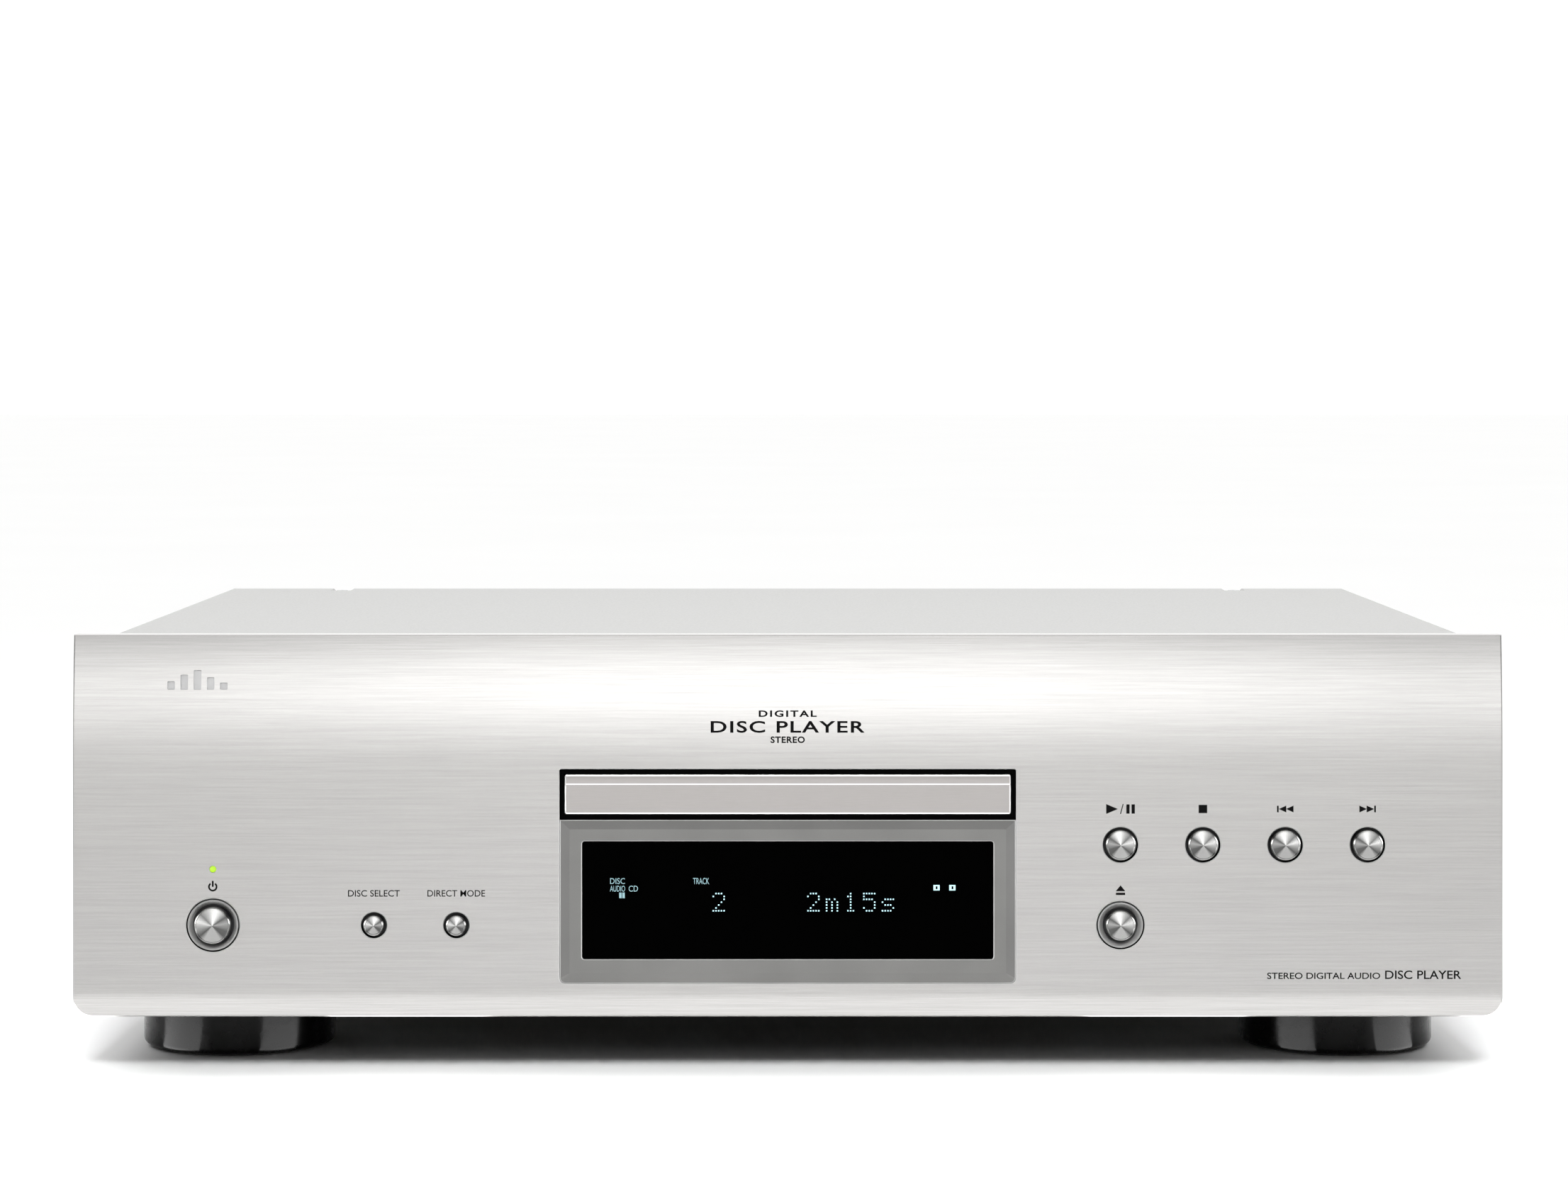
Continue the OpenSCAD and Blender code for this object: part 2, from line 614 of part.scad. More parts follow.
// Frame that the tray, its gears and the traverse are hung in
module loader_frame() color("dimgray") difference() {
    union() {
        for (side = [-1, 1]) {
            side_box(side, wall_x, wall_x + wall_t, [loader_front, loader_back], [56, 93]);
            // ledge that the tray slides on, and hooks that hold it down
            side_box(side, wall_x - 5.2, wall_x + 0.01,
                [loader_front, loader_back], [81.8, tray_low - 0.2]);
            for (y = [loader_front, 20])
                side_box(side, wall_x - 2.7, wall_x + 0.01, [y, y + 16], [tray_high + 0.2, 93]);
            // hinge ear for the traverse
            side_box(side, 52, wall_x + 0.01, [-1, 11], [70, 80.8]);
            // ears on the loader's outside, which stand on the brackets
            for (y = BRACKETS) side_box(side, wall_x + wall_t - 0.01, wall_x + 12, [y, y + 12], [62, 66]);
        }
        box([-wall_x - 0.01, loader_front, 76], [wall_x + 0.01, -112, 78.5]);
        box([-wall_x - 0.01, 16, 71], [wall_x + 0.01, loader_back, 74]);
        // rail under the cam slider
        box([12, -119.5, 58], [wall_x + 0.01, -113, 60.8]);
        // posts that the gears turn on
        for (p = [drive_at, belt_at]) translate([p[0], p[1], 78]) cylinder(h = 6.1, r = 2);
    }
    translate([0, hinge[0], hinge[1]]) rotate([0, 90, 0]) cylinder(h = 125, r = 2.55, center = true);
    translate([motor_at[0], motor_at[1], 70]) cylinder(h = 12, r = 2);
}

// Steel legs from the bottom plate to the loader's ears, joined by a long web
module loader_brackets() color("silver") for (side = [-1, 1]) {
    inner = wall_x + 6;
    outer = inner + 11;
    side_box(side, inner, inner + sheet, [BRACKETS[0], BRACKETS[1] + 12], [40, 52]);
    for (y = BRACKETS) {
        side_box(side, inner, inner + sheet, [y, y + 12], [plate_z + sheet, 61.5]);
        side_box(side, inner, outer, [y, y + 12], [60.7, 61.9]);
        side_box(side, inner, outer, [y, y + 12], [plate_z + sheet, plate_z + 2 * sheet]);
    }
}

// Steel strip across the loader, folded up along both edges, that carries the clamp
module clamp_bridge() color("silver") difference() {
    union() {
        box([-wall_x - wall_t, spindle[1] - 22, 93.1], [wall_x + wall_t, spindle[1] + 22, 94.3]);
        for (y = [spindle[1] - 22, spindle[1] + 20.8])
            box([-50, y, 94.2], [50, y + 1.2, 98]);
    }
    translate([spindle[0], spindle[1], 90]) cylinder(h = 8, r = 14);
}

// Disc clamp, free to turn in the bridge's hole
module clamp_puck() color([0.9, 0.9, 0.88]) translate([spindle[0], spindle[1], 0]) rotate_extrude()
    polygon([[8, 89], [13, 89], [13, 94.6], [17, 94.6], [17, 96.8], [0, 96.8], [0, 92], [8, 92]]);

// Tray with recesses for 12 cm and 8 cm discs
module disc_tray() color([0.12, 0.12, 0.12]) {
    y = spindle[1];
    wall = 2;
    notch_x = 50;
    slot_half = 21;
    rack_low = 81.3;
    rack_side = rack_x - 6.3;
    difference() {
        box([-tray_half, tray_front, tray_low], [tray_half, tray_back, tray_high]);
        translate([0, y, disc_floor]) cylinder(h = 10, r = disc_r, $fn = 128);
        translate([0, y, small_floor]) cylinder(h = 10, r = small_disc_r, $fn = 96);
        // finger notches at the sides of the disc
        for (side = [-1, 1]) translate([side * notch_x, y, disc_floor]) cylinder(h = 10, r = 14);
        // slot for the turntable and the pickup
        box([-slot_half, y - 20, tray_low - 1], [slot_half, tray_back + 1, tray_high + 1]);
        // hollow underside outside the disc recess
        translate([0, 0, tray_low - 1]) linear_extrude(tray_high - wall - tray_low + 1) difference() {
            translate([-tray_half + wall, tray_front + wall])
                square([2 * (tray_half - wall), tray_back - tray_front - 2 * wall]);
            translate([0, y]) circle(disc_r + wall, $fn = 128);
            for (side = [-1, 1]) translate([side * notch_x, y]) circle(14 + wall);
            translate([-slot_half - wall, y - 20 - wall]) square([2 * (slot_half + wall), 200]);
            translate([rack_side, tray_front]) square([5.1, 300]);
        }
    }
    // rack under the left side
    box([rack_side, -140, rack_low], [rack_x - root_share * tray_module, 30, tray_low + 0.01]);
    rack_teeth(rack_x, gear_y, -4, 37, tray_module, 1, rack_low, tray_low + 0.01);
}

// Door section: a lower face, a narrow step, and an upper face that leans back
module tray_door() color("lightgray") bar_yz(door_w) {
    low = tray_gap_low + 0.25;
    high = tray_gap_high - 0.25;
    step = 89.6;
    polygon([[face_y + 0.3, low], [tray_front, low], [tray_front, high], [face_y + 0.95, high],
        [face_y + 0.65, high - 0.3], [face_y + 0.35, step + 0.35], [face_y, step], [face_y, low + 0.3]]);
}

module drive_gear() color("white") translate([drive_at[0], drive_at[1], 0])
    gear(drive_teeth, tray_module, 180, gear_low, gear_high, 2.05);

// A pulley wheel with a flanged groove of radius r
module belt_wheel(bore, r) rotate_extrude() polygon([[bore, belt_low], [r + 1, belt_low], [r, belt_low + 0.3],
    [r, belt_high - 0.3], [r + 1, belt_high], [bore, belt_high]]);

module belt_gear() color("white") translate([belt_at[0], belt_at[1], 0]) {
    phase = mesh_phase(belt_teeth, 180, drive_teeth, 180);
    gear(belt_teeth, tray_module, phase, belt_high - 0.01, gear_high, 2.05);
    belt_wheel(2.05, belt_groove_r);
}

module motor_pulley() color("gold") translate([motor_at[0], motor_at[1], 0]) {
    belt_wheel(0, motor_groove_r);
    translate([0, 0, 66]) cylinder(h = belt_high - 66, r = 1);
}

// The belt's path, grown outwards by extra
module belt_loop(extra) hull() {
    translate(belt_at) circle(belt_groove_r + extra, $fn = 96);
    translate(motor_at) circle(motor_groove_r + extra, $fn = 64);
}

module loading_belt() color([0.05, 0.05, 0.05]) translate([0, 0, belt_low + 0.4])
    linear_extrude(belt_high - belt_low - 0.8) difference() {
        belt_loop(1.0);
        belt_loop(0.04);
    }

// Round motor, bored from above for its shaft
module small_motor(p, r, low, high, bore) translate([p[0], p[1], 0]) difference() {
    translate([0, 0, low]) cylinder(h = high - low, r = r);
    translate([0, 0, high - 12]) cylinder(h = 13, r = bore);
}

module loading_motor() color("silver") small_motor(motor_at, 10, 58, 75.9, 1.1);

// Upright plate whose sloping slot lifts the front of the traverse
module cam_slider() color("white") {
    reach = norm([cam_travel, cam_drop]);
    slope = atan2(cam_drop, cam_travel);
    slot_r = cam_pin_r + 0.12;
    spare = 0.3;       // extra slot at each end
    difference() {
        box([14, cam_pin_y - 1.25, 61.1], [46, cam_pin_y + 1.25, 75.7]);
        translate([cam_x, cam_pin_y, cam_pin_z]) rotate([0, 180 - slope, 0]) {
            translate([-spare, -3, -slot_r]) cube([reach + 2 * spare, 6, 2 * slot_r]);
            for (x = [-spare, reach + spare])
                translate([x, 3, 0]) rotate([90, 0, 0]) cylinder(h = 6, r = slot_r);
        }
    }
}

// Hinged frame under the disc
module traverse_frame() color([0.2, 0.2, 0.22]) difference() {
    union() {
        box([-48, -111, deck_low], [48, 8, deck_high]);
        // blocks that hold the guide rods
        for (side = [-1, 1], y = [-88, -18])
            box([side * rod_x - 3.5, y, 73.5], [side * rod_x + 3.5, y + 7, deck_high - 0.01]);
        // hinge lugs and pins at the rear
        translate([0, hinge[0], hinge[1]]) rotate([0, 90, 0]) {
            cylinder(h = 116, r = 2.5, center = true);
            cylinder(h = 98, r = 4, center = true);
        }
        // arm with the cam pin at the front
        box([cam_x - 4, -111, 69.5], [cam_x + 4, -106, deck_low + 0.01]);
        rod_y(cam_x, cam_pin_z, cam_pin_r, -119, -110.9);
        translate([sled_at[0], sled_at[1], deck_high - 0.01]) cylinder(h = 3.5, r = 1.5);
    }
    box([-31, -81, 60], [31, -18, 90]);
    translate([spindle[0], spindle[1], deck_low - 1]) cylinder(h = 6, r = 4.6);
    translate([sled_motor_at[0], sled_motor_at[1], deck_low - 1]) cylinder(h = 6, r = 1.8);
    rods();
}

// Hub on the spindle motor's shaft
module turntable() color([0.15, 0.15, 0.15]) translate([spindle[0], spindle[1], 0]) rotate_extrude()
    polygon([[0, 66], [1, 66], [1, 81], [4, 81], [4, 85.3], [16, 85.3], [16, 88.3],
        [7.4, 88.3], [7.4, 89.3], [6, 90.3], [0, 90.3]]);

module spindle_motor() color("silver") small_motor(spindle, 12.5, 62, deck_low - hair, 1.1);
module sled_motor() color("silver") small_motor(sled_motor_at, 10, 60, deck_low - hair, 1.1);

module rods() for (side = [-1, 1]) rod_y(side * rod_x, rod_z, 1.5, -87, -12);
module guide_rods() color("white") rods();

// Laser pickup: a sled on two rods with a rack on its left, and the lens on top
module pickup() color([0.3, 0.3, 0.32]) {
    difference() {
        union() {
            box([-18, -79.3, 68], [18, -54, 79.4]);
            box([-13, -76, 79.3], [13, -58, 84]);
            box([17.9, -78, 74.4], [28, -56, 79.5]);
            box([-29.5, -70, 74.4], [-17.9, -64, 79.5]);
            box([-29.8, -70, 79.4], [-28, -64, 81.5]);
            box([sled_rack_x + root_share * sled_module, -98, 80.3], [-28.2, -55.5, 81.5]);
            rack_teeth(sled_rack_x, sled_at[1], -20, 1, sled_module, -1, 80.3, 81.5);
        }
        rod_y(rod_x, rod_z, 1.53, -80, -54);
        box([-27, -71, rod_z - 1.55], [-20.5, -63, rod_z + 1.55]);
    }
    translate([0, lens_y, 84 + hair]) cylinder(h = 2.7, r1 = 4.4, r2 = 3.8);
}

// Double gear between the motor's pinion and the pickup's rack
module sled_gear() color("white") translate([sled_at[0], sled_at[1], 0]) {
    gear(sled_teeth, sled_module, 0, 80.3, 81.91, 1.54);
    phase = mesh_phase(sled_wheel_teeth, sled_turn, sled_pinion_teeth, 0);
    gear(sled_wheel_teeth, sled_module, phase, 81.9, 83.4, 1.54);
}

module sled_pinion() color("gold") translate([sled_motor_at[0], sled_motor_at[1], 0]) {
    gear(sled_pinion_teeth, sled_module, 0, 81.9, 83.4, 0);
    translate([0, 0, 66]) cylinder(h = 15.91, r = 1);
}

// ---------- electronics ----------

// Two shielded transformers: laminated cores, wound bobbins and feet
module transformers() for (y = [-88, -12]) translate([-130, y, plate_z + sheet + hair]) {
    color("silver") box([-36, -30, 0], [36, 30, 2]);
    color("gray") difference() {
        box([-33, -14, 2 + hair], [33, 14, 60]);
        for (x = [-16, 16]) box([x - 8, -15, 14], [x + 8, 15, 48]);
    }
    color("orange") for (s = [-1, 1])
        box([-15, s > 0 ? 14 + hair : -27, 14], [15, s > 0 ? 27 : -14 - hair, 48]);
}

// A circuit board
module board(low, high) color("darkgreen") box([low[0], low[1], board_low], [high[0], high[1], board_high]);

// An electrolytic capacitor
module can(x, y, r, h, tone = "navy")
    color(tone) translate([x, y, parts_z]) cylinder(h = h, r = r, $fn = 32);

// A block-shaped part on a board
module chip(x, y, w, d, h, tone = [0.1, 0.1, 0.1])
    color(tone) box([x - w / 2, y - d / 2, parts_z], [x + w / 2, y + d / 2, parts_z + h]);

module power_board() {
    board([-202, 34], [-94, 144]);
    for (x = [-180, -150], y = [62, 96]) can(x, y, 12.5, 42);
    for (x = [-122:12:-98]) can(x, 60, 5, 20);
    // finned heat sink
    color("silver") {
        box([-128, 84, parts_z], [-100, 87, 64]);
        for (x = [-127:5:-101]) box([x, 86.9, parts_z], [x + 1.2, 104, 64]);
    }
    chip(-112, 124, 18, 12, 16);
}

module audio_board() {
    board([88, -118], [202, 144]);
    for (y = [-90:30:90]) can(108, y, 8, 25, "gold");
    for (y = [-75:30:75]) can(180, y, 6.3, 18, "gold");
    for (y = [-84:21:84]) chip(144, y, 10, 10, 2);
    for (x = [124, 164], y = [-60:40:60]) chip(x, y, 10, 6, 9.35, "firebrick");
    for (x = [140, 160]) chip(x, 128, 12, 18, 10);
}

module digital_board() {
    board([-86, 54], [84, 144]);
    chip(-30, 92, 20, 20, 2);
    chip(12, 88, 14, 14, 1.6);
    chip(44, 110, 12, 20, 1.6);
    for (x = [-70:14:70]) can(x, 64, 3.2, 8);
    for (x = [-60, -20, 20]) chip(x, 132.5, 18, 5, 8.35, [0.9, 0.9, 0.85]);
}

// ---------- the nodes ----------

front_panel();
front_frame();
tray_surround();
display_bezel();
display_window();
display_board();
power_ring();
eject_ring();
power_led();
key_boards();
tact_switches();
key(power_key);  // power_button
key(layer_key);  // layer_button
key(direct_key);  // direct_button
key(play_key);  // play_button
key(stop_key);  // stop_button
key(previous_key);  // previous_button
key(next_key);  // next_button
key(eject_key);  // eject_button
top_cover();
bottom_plate();
rear_panel();
front_chassis();
foot(FEET[0]);  // foot_front_left
foot(FEET[1]);  // foot_front_right
foot(FEET[2]);  // foot_rear_left
foot(FEET[3]);  // foot_rear_right
foot_pads();
base_fixings();
cover_screws();
rca_shells();
rca_inserts();
optical_output();
optical_flap();
remote_jacks();
ac_inlet();
loader_frame();
loader_brackets();
clamp_bridge();
clamp_puck();
disc_tray();
tray_door();
drive_gear();
belt_gear();
motor_pulley();
loading_belt();
loading_motor();
cam_slider();
traverse_frame();
turntable();
spindle_motor();
guide_rods();
pickup();
sled_gear();
sled_pinion();
sled_motor();
transformers();
power_board();
audio_board();
digital_board();
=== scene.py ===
"""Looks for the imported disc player: finer meshes for what shows, procedural materials, lights and camera.

Sizes are in millimetres until a mesh is made. The object's frame: +Z up, the front panel faces -Y.
"""
import json
import math

import bpy
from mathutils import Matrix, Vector, geometry


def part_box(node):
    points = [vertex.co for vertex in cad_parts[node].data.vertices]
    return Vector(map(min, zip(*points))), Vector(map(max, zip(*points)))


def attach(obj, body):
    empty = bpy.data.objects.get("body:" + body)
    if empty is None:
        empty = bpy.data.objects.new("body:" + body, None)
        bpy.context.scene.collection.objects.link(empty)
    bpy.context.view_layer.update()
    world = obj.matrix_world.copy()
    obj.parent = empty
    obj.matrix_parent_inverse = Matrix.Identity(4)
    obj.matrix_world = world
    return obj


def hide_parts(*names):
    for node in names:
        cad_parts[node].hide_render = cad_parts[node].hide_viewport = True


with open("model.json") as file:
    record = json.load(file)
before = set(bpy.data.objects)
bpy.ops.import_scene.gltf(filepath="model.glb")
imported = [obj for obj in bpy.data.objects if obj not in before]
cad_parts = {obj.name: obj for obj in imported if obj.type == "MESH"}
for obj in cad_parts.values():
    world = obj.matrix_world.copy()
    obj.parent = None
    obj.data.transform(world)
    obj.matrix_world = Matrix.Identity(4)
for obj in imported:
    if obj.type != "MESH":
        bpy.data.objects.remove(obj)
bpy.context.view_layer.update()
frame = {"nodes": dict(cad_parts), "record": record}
MM = 0.001


def node_box(node):
    """Lowest and highest corner of a CAD node, in millimetres."""
    low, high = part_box(node)
    return Vector(low) / MM, Vector(high) / MM


# ---------- sizes, from the frame ----------

PANEL_LOW, PANEL_HIGH = node_box("front_panel")
HALF_W = PANEL_HIGH.x
FACE_Y = PANEL_LOW.y
PANEL_BACK = PANEL_HIGH.y
SKIN = 4.0                         # the panel's thickness behind its flat face
FLAT_LOW, FLAT_HIGH = 28.4, 96.3   # heights where its face rolls back
CROWN_R, ROLL_R = 319.0, 35.0      # radius of the roll above and below
CORNER_R = 5.8                     # radius of its lower corners
CAP_FRONT = node_box("play_button")[0].y


def centre_of(node):
    """Centre of a node seen from the front, as x and z."""
    low, high = node_box(node)
    return (low.x + high.x) / 2, (low.z + high.z) / 2


# name: (cap radius, hole radius)
BUTTONS = {"power": (5.6, 8.1), "layer": (3.15, 3.92), "direct": (3.15, 3.92), "play": (4.65, 5.33),
           "stop": (4.65, 5.33), "previous": (4.65, 5.33), "next": (4.65, 5.33), "eject": (4.65, 7.3)}
BUTTON_AT = {name: centre_of(name + "_button") for name in BUTTONS}
LED_AT = centre_of("power_led")


def face_at(z):
    """How far back the panel's face lies at a height: flat, with a roll above and below."""
    if z > FLAT_HIGH:
        return FACE_Y + CROWN_R - math.sqrt(CROWN_R ** 2 - (z - FLAT_HIGH) ** 2)
    if z < FLAT_LOW:
        return FACE_Y + ROLL_R - math.sqrt(ROLL_R ** 2 - (FLAT_LOW - z) ** 2)
    return FACE_Y


def face_normal(z):
    """Outward normal of the panel's face at a height."""
    if z > FLAT_HIGH:
        tilt = math.asin((z - FLAT_HIGH) / CROWN_R)
    elif z < FLAT_LOW:
        tilt = -math.asin((FLAT_LOW - z) / ROLL_R)
    else:
        tilt = 0.0
    return 0.0, -math.cos(tilt), math.sin(tilt)


# ---------- mesh building ----------

def rounded(x0, x1, z0, z1, low_r, high_r, inset=0.0, steps=6):
    """Outline of a rectangle with round corners, anticlockwise seen from the front."""
    x0, x1, z0, z1 = x0 + inset, x1 - inset, z0 + inset, z1 - inset
    points = []
    for cx, cz, sx, sz, r, start in ((x0, z0, 1, 1, low_r, 180), (x1, z0, -1, 1, low_r, 270),
                                     (x1, z1, -1, -1, high_r, 0), (x0, z1, 1, -1, high_r, 90)):
        r = max(r - inset, 0.05)
        for k in range(steps + 1):
            a = math.radians(start + 90 * k / steps)
            points.append((cx + sx * r + r * math.cos(a), cz + sz * r + r * math.sin(a)))
    return points


def round_hole(x, z, r, steps=64):
    """Outline of a circle, anticlockwise seen from the front."""
    turns = [2 * math.pi * k / steps for k in range(steps)]
    return [(x + r * math.cos(a), z + r * math.sin(a)) for a in turns]


class Shell:
    """Points in millimetres, and the faces between rings of them."""

    def __init__(self):
        self.points = []
        self.faces = []
        self.curved = set()      # faces that take the panel's own smooth normals
        self.cut = set()         # faces of the chamfers round the holes, painted lighter as a highlight
        self.wall = set()        # faces of the holes' walls, painted near black as shade

    def ring(self, outline, y):
        """Adds an outline (x, z) at depth y, which is a number or a function of z."""
        start = len(self.points)
        self.points += [(x, y(z) if callable(y) else y, z) for x, z in outline]
        return list(range(start, len(self.points)))

    def bridge(self, front, back, inward=False):
        """A band of quads from a front ring to one behind it. A hole's wall faces inward."""
        for i in range(len(front)):
            j = (i + 1) % len(front)
            quad = (front[i], front[j], back[j], back[i])
            self.faces.append(quad if inward else quad[::-1])

    def fill(self, outer, holes=(), lines=(), facing_back=False, curved=False):
        """Triangles inside a ring and outside its holes. Lines are pairs of points that edges must join."""
        loops = [outer, *holes]
        index = [i for loop in loops for i in loop]
        place = {i: k for k, i in enumerate(index)}
        flat = [Vector((self.points[i][0], self.points[i][2])) for i in index]
        edges = [(place[a], place[b]) for loop in loops for a, b in zip(loop, loop[1:] + loop[:1])]
        edges += [(place[a], place[b]) for a, b in lines]
        result = geometry.delaunay_2d_cdt(flat, edges, [], 0, 1e-6)
        made, triangles, origin = result[0], result[2], result[3]
        rims = [[flat[place[i]] for i in loop] for loop in loops]
        for triangle in triangles:
            middle = sum((made[k] for k in triangle), Vector((0, 0))) / 3
            if inside(middle, rims[0]) and not any(inside(middle, rim) for rim in rims[1:]):
                face = tuple(index[origin[k][0]] for k in triangle)
                if curved:
                    self.curved.add(len(self.faces))
                self.faces.append(face[::-1] if facing_back else face)

    def opening(self, outline_at, y_front, y_back, chamfer):
        """The chamfer and wall of a hole. Returns its front ring and its back ring."""
        front = self.ring(outline_at(-chamfer), y_front)
        lip = self.ring(outline_at(0), lambda z: (y_front(z) if callable(y_front) else y_front) + chamfer)
        back = self.ring(outline_at(0), y_back)
        first = len(self.faces)
        self.bridge(front, lip, inward=True)
        self.cut.update(range(first, len(self.faces)))
        first = len(self.faces)
        self.bridge(lip, back, inward=True)
        self.wall.update(range(first, len(self.faces)))
        return front, back


def inside(point, rim):
    """Whether a point lies inside a rim of points."""
    found = False
    for k, a in enumerate(rim):
        b = rim[k - 1]
        if (a.y > point.y) != (b.y > point.y):
            if point.x < (b.x - a.x) * (point.y - a.y) / (b.y - a.y) + a.x:
                found = not found
    return found


def add_piece(name, points, faces, material, body="chassis", stands_for=(), slot=None, sharp=30, curved=()):
    """Makes an object from points in millimetres, smooth up to the sharp angle, on a body."""
    mesh = bpy.data.meshes.new(name)
    mesh.from_pydata([Vector(p) * MM for p in points], [], faces)
    mesh.polygons.foreach_set("use_smooth", [True] * len(mesh.polygons))
    mesh.set_sharp_from_angle(angle=math.radians(sharp))
    if curved:
        normals = [(0.0, 0.0, 0.0)] * len(mesh.loops)
        for f in curved:
            for k in mesh.polygons[f].loop_indices:
                normals[k] = face_normal(mesh.vertices[mesh.loops[k].vertex_index].co.z / MM)
        mesh.normals_split_custom_set(normals)
    mesh.materials.append(material)
    piece = bpy.data.objects.new(name, mesh)
    bpy.context.scene.collection.objects.link(piece)
    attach(piece, body)
    if stands_for:
        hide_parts(*([stands_for] if isinstance(stands_for, str) else stands_for))
    return piece


def recolour(piece, material, faces):
    """Gives some faces of a piece a second material."""
    piece.data.materials.append(material)
    for face in faces:
        piece.data.polygons[face].material_index = len(piece.data.materials) - 1


def add_shell(name, shell, material, **options):
    """Makes a piece from a shell."""
    return add_piece(name, shell.points, shell.faces, material, curved=shell.curved, **options)


def turned(profile, centre, axis="Y", steps=96):
    """Points and faces of a turned shape. The profile is (radius, distance along the axis)."""
    points, faces, rings = [], [], []
    for r, t in profile:
        start = len(points)
        count = 1 if r < 1e-6 else steps
        for k in range(count):
            a = 2 * math.pi * k / steps
            u, v = centre[0] + r * math.cos(a), centre[1] + r * math.sin(a)
            points.append((u, t, v) if axis == "Y" else (u, v, t))
        rings.append(list(range(start, start + count)))
    for a, b in zip(rings, rings[1:]):
        for k in range(steps):
            quad = (a[k % len(a)], a[(k + 1) % len(a)], b[(k + 1) % len(b)], b[k % len(b)])
            face = tuple(dict.fromkeys(quad))
            if len(face) > 2:
                faces.append(face if axis == "Z" else face[::-1])
    return points, faces


def add_turned(name, profile, centre, material, axis="Y", steps=96, **options):
    """Makes a turned piece."""
    points, faces = turned(profile, centre, axis, steps)
    return add_piece(name, points, faces, material, **options)


# ---------- materials ----------

class Surface:
    """A material built from nodes, with short ways to add, set and join them."""

    def __init__(self, name, colour, roughness, metallic=0.0, **shader):
        self.material = bpy.data.materials.new(name)
        self.material.use_nodes = True
        self.material.diffuse_color = (*colour, 1)
        self.tree = self.material.node_tree
        self.shader = self.tree.nodes["Principled BSDF"]
        self.set(self.shader, {"Base Color": (*colour, 1), "Roughness": roughness, "Metallic": metallic,
                               **shader})
        self.coordinates = self.add("ShaderNodeTexCoord")
        self.place = self.coordinates.outputs["Object"]
        self.bump_chain = None

    def set(self, node, values):
        for socket, value in values.items():
            node.inputs[socket].default_value = value

    def add(self, kind, values=None, **properties):
        node = self.tree.nodes.new(kind)
        for key, value in properties.items():
            setattr(node, key, value)
        self.set(node, values or {})
        return node

    def join(self, source, node, socket):
        self.tree.links.new(source, node.inputs[socket])

    def noise(self, cells, detail=3.0, roughness=0.55):
        """Noise with that many cells per millimetre along X, Y and Z."""
        mapping = self.add("ShaderNodeMapping", {"Scale": [c / MM for c in cells]})
        self.join(self.place, mapping, "Vector")
        noise = self.add("ShaderNodeTexNoise", {"Scale": 1.0, "Detail": detail, "Roughness": roughness})
        self.join(mapping.outputs[0], noise, "Vector")
        return noise.outputs[0]

    def spread(self, source, low, high, centre=0.5, half=0.2):
        """Maps a noise round its centre to the range low to high."""
        ramp = self.add("ShaderNodeMapRange", {"From Min": centre - half, "From Max": centre + half,
                                               "To Min": low, "To Max": high})
        self.join(source, ramp, "Value")
        return ramp.outputs[0]

    def tint(self, source, dark, light):
        """Colour that runs from dark to light with a noise."""
        mix = self.add("ShaderNodeMix", data_type="RGBA")
        mix.inputs[6].default_value = (*dark, 1)
        mix.inputs[7].default_value = (*light, 1)
        self.join(self.spread(source, 0, 1), mix, 0)
        self.join(mix.outputs[2], self.shader, "Base Color")
        return self

    def rough(self, source, low, high):
        self.join(self.spread(source, low, high), self.shader, "Roughness")
        return self

    def bump(self, source, height, strength=1.0):
        """Bump of that height in millimetres."""
        node = self.add("ShaderNodeBump", {"Strength": strength, "Distance": height * MM})
        self.join(source, node, "Height")
        if self.bump_chain:
            self.join(self.bump_chain, node, "Normal")
        self.bump_chain = node.outputs[0]
        self.join(self.bump_chain, self.shader, "Normal")
        return self

    def brushed(self, axis, turn):
        """Stretches highlights across the brush marks. The tangent runs round the axis."""
        tangent = self.add("ShaderNodeTangent", direction_type="RADIAL", axis=axis)
        self.join(tangent.outputs[0], self.shader, "Tangent")
        self.set(self.shader, {"Anisotropic Rotation": turn})
        return self


def shade(colour, factor):
    """The colour, lighter or darker."""
    return tuple(min(1.0, c * factor) for c in colour)


def brushed_aluminium(name, colour, roughness=0.27):
    """Fine straight brushing along X, with long and short streaks."""
    s = Surface(name, colour, roughness, 1.0, Anisotropic=0.75)
    fine = s.noise((0.05, 2.0, 5.0), 2.0)
    broad = s.noise((0.012, 0.5, 1.1), 3.0)
    grain = s.noise((0.025, 1.7, 1.7), 5.0, 0.78)
    s.brushed("X", 0.0)
    s.tint(grain, shade(colour, 0.92), shade(colour, 1.08))
    s.rough(fine, roughness - 0.015, roughness + 0.015)
    s.bump(fine, 0.0003).bump(broad, 0.0003)
    return s.material


# Painted highlights and shade: a fan of light and dark wedges set into a spun face's base colour: degrees
# clockwise from the top, brightness.
PAINTED_WEDGES = [(0, 0.9), (15, 0.6), (45, 0.2), (77, 0.65), (105, 0.3), (130, 0.1), (150, 0.45),
          (210, 0.46), (228, 0.1), (250, 0.11), (280, 0.4), (303, 0.11), (345, 1.0), (360, 0.9)]


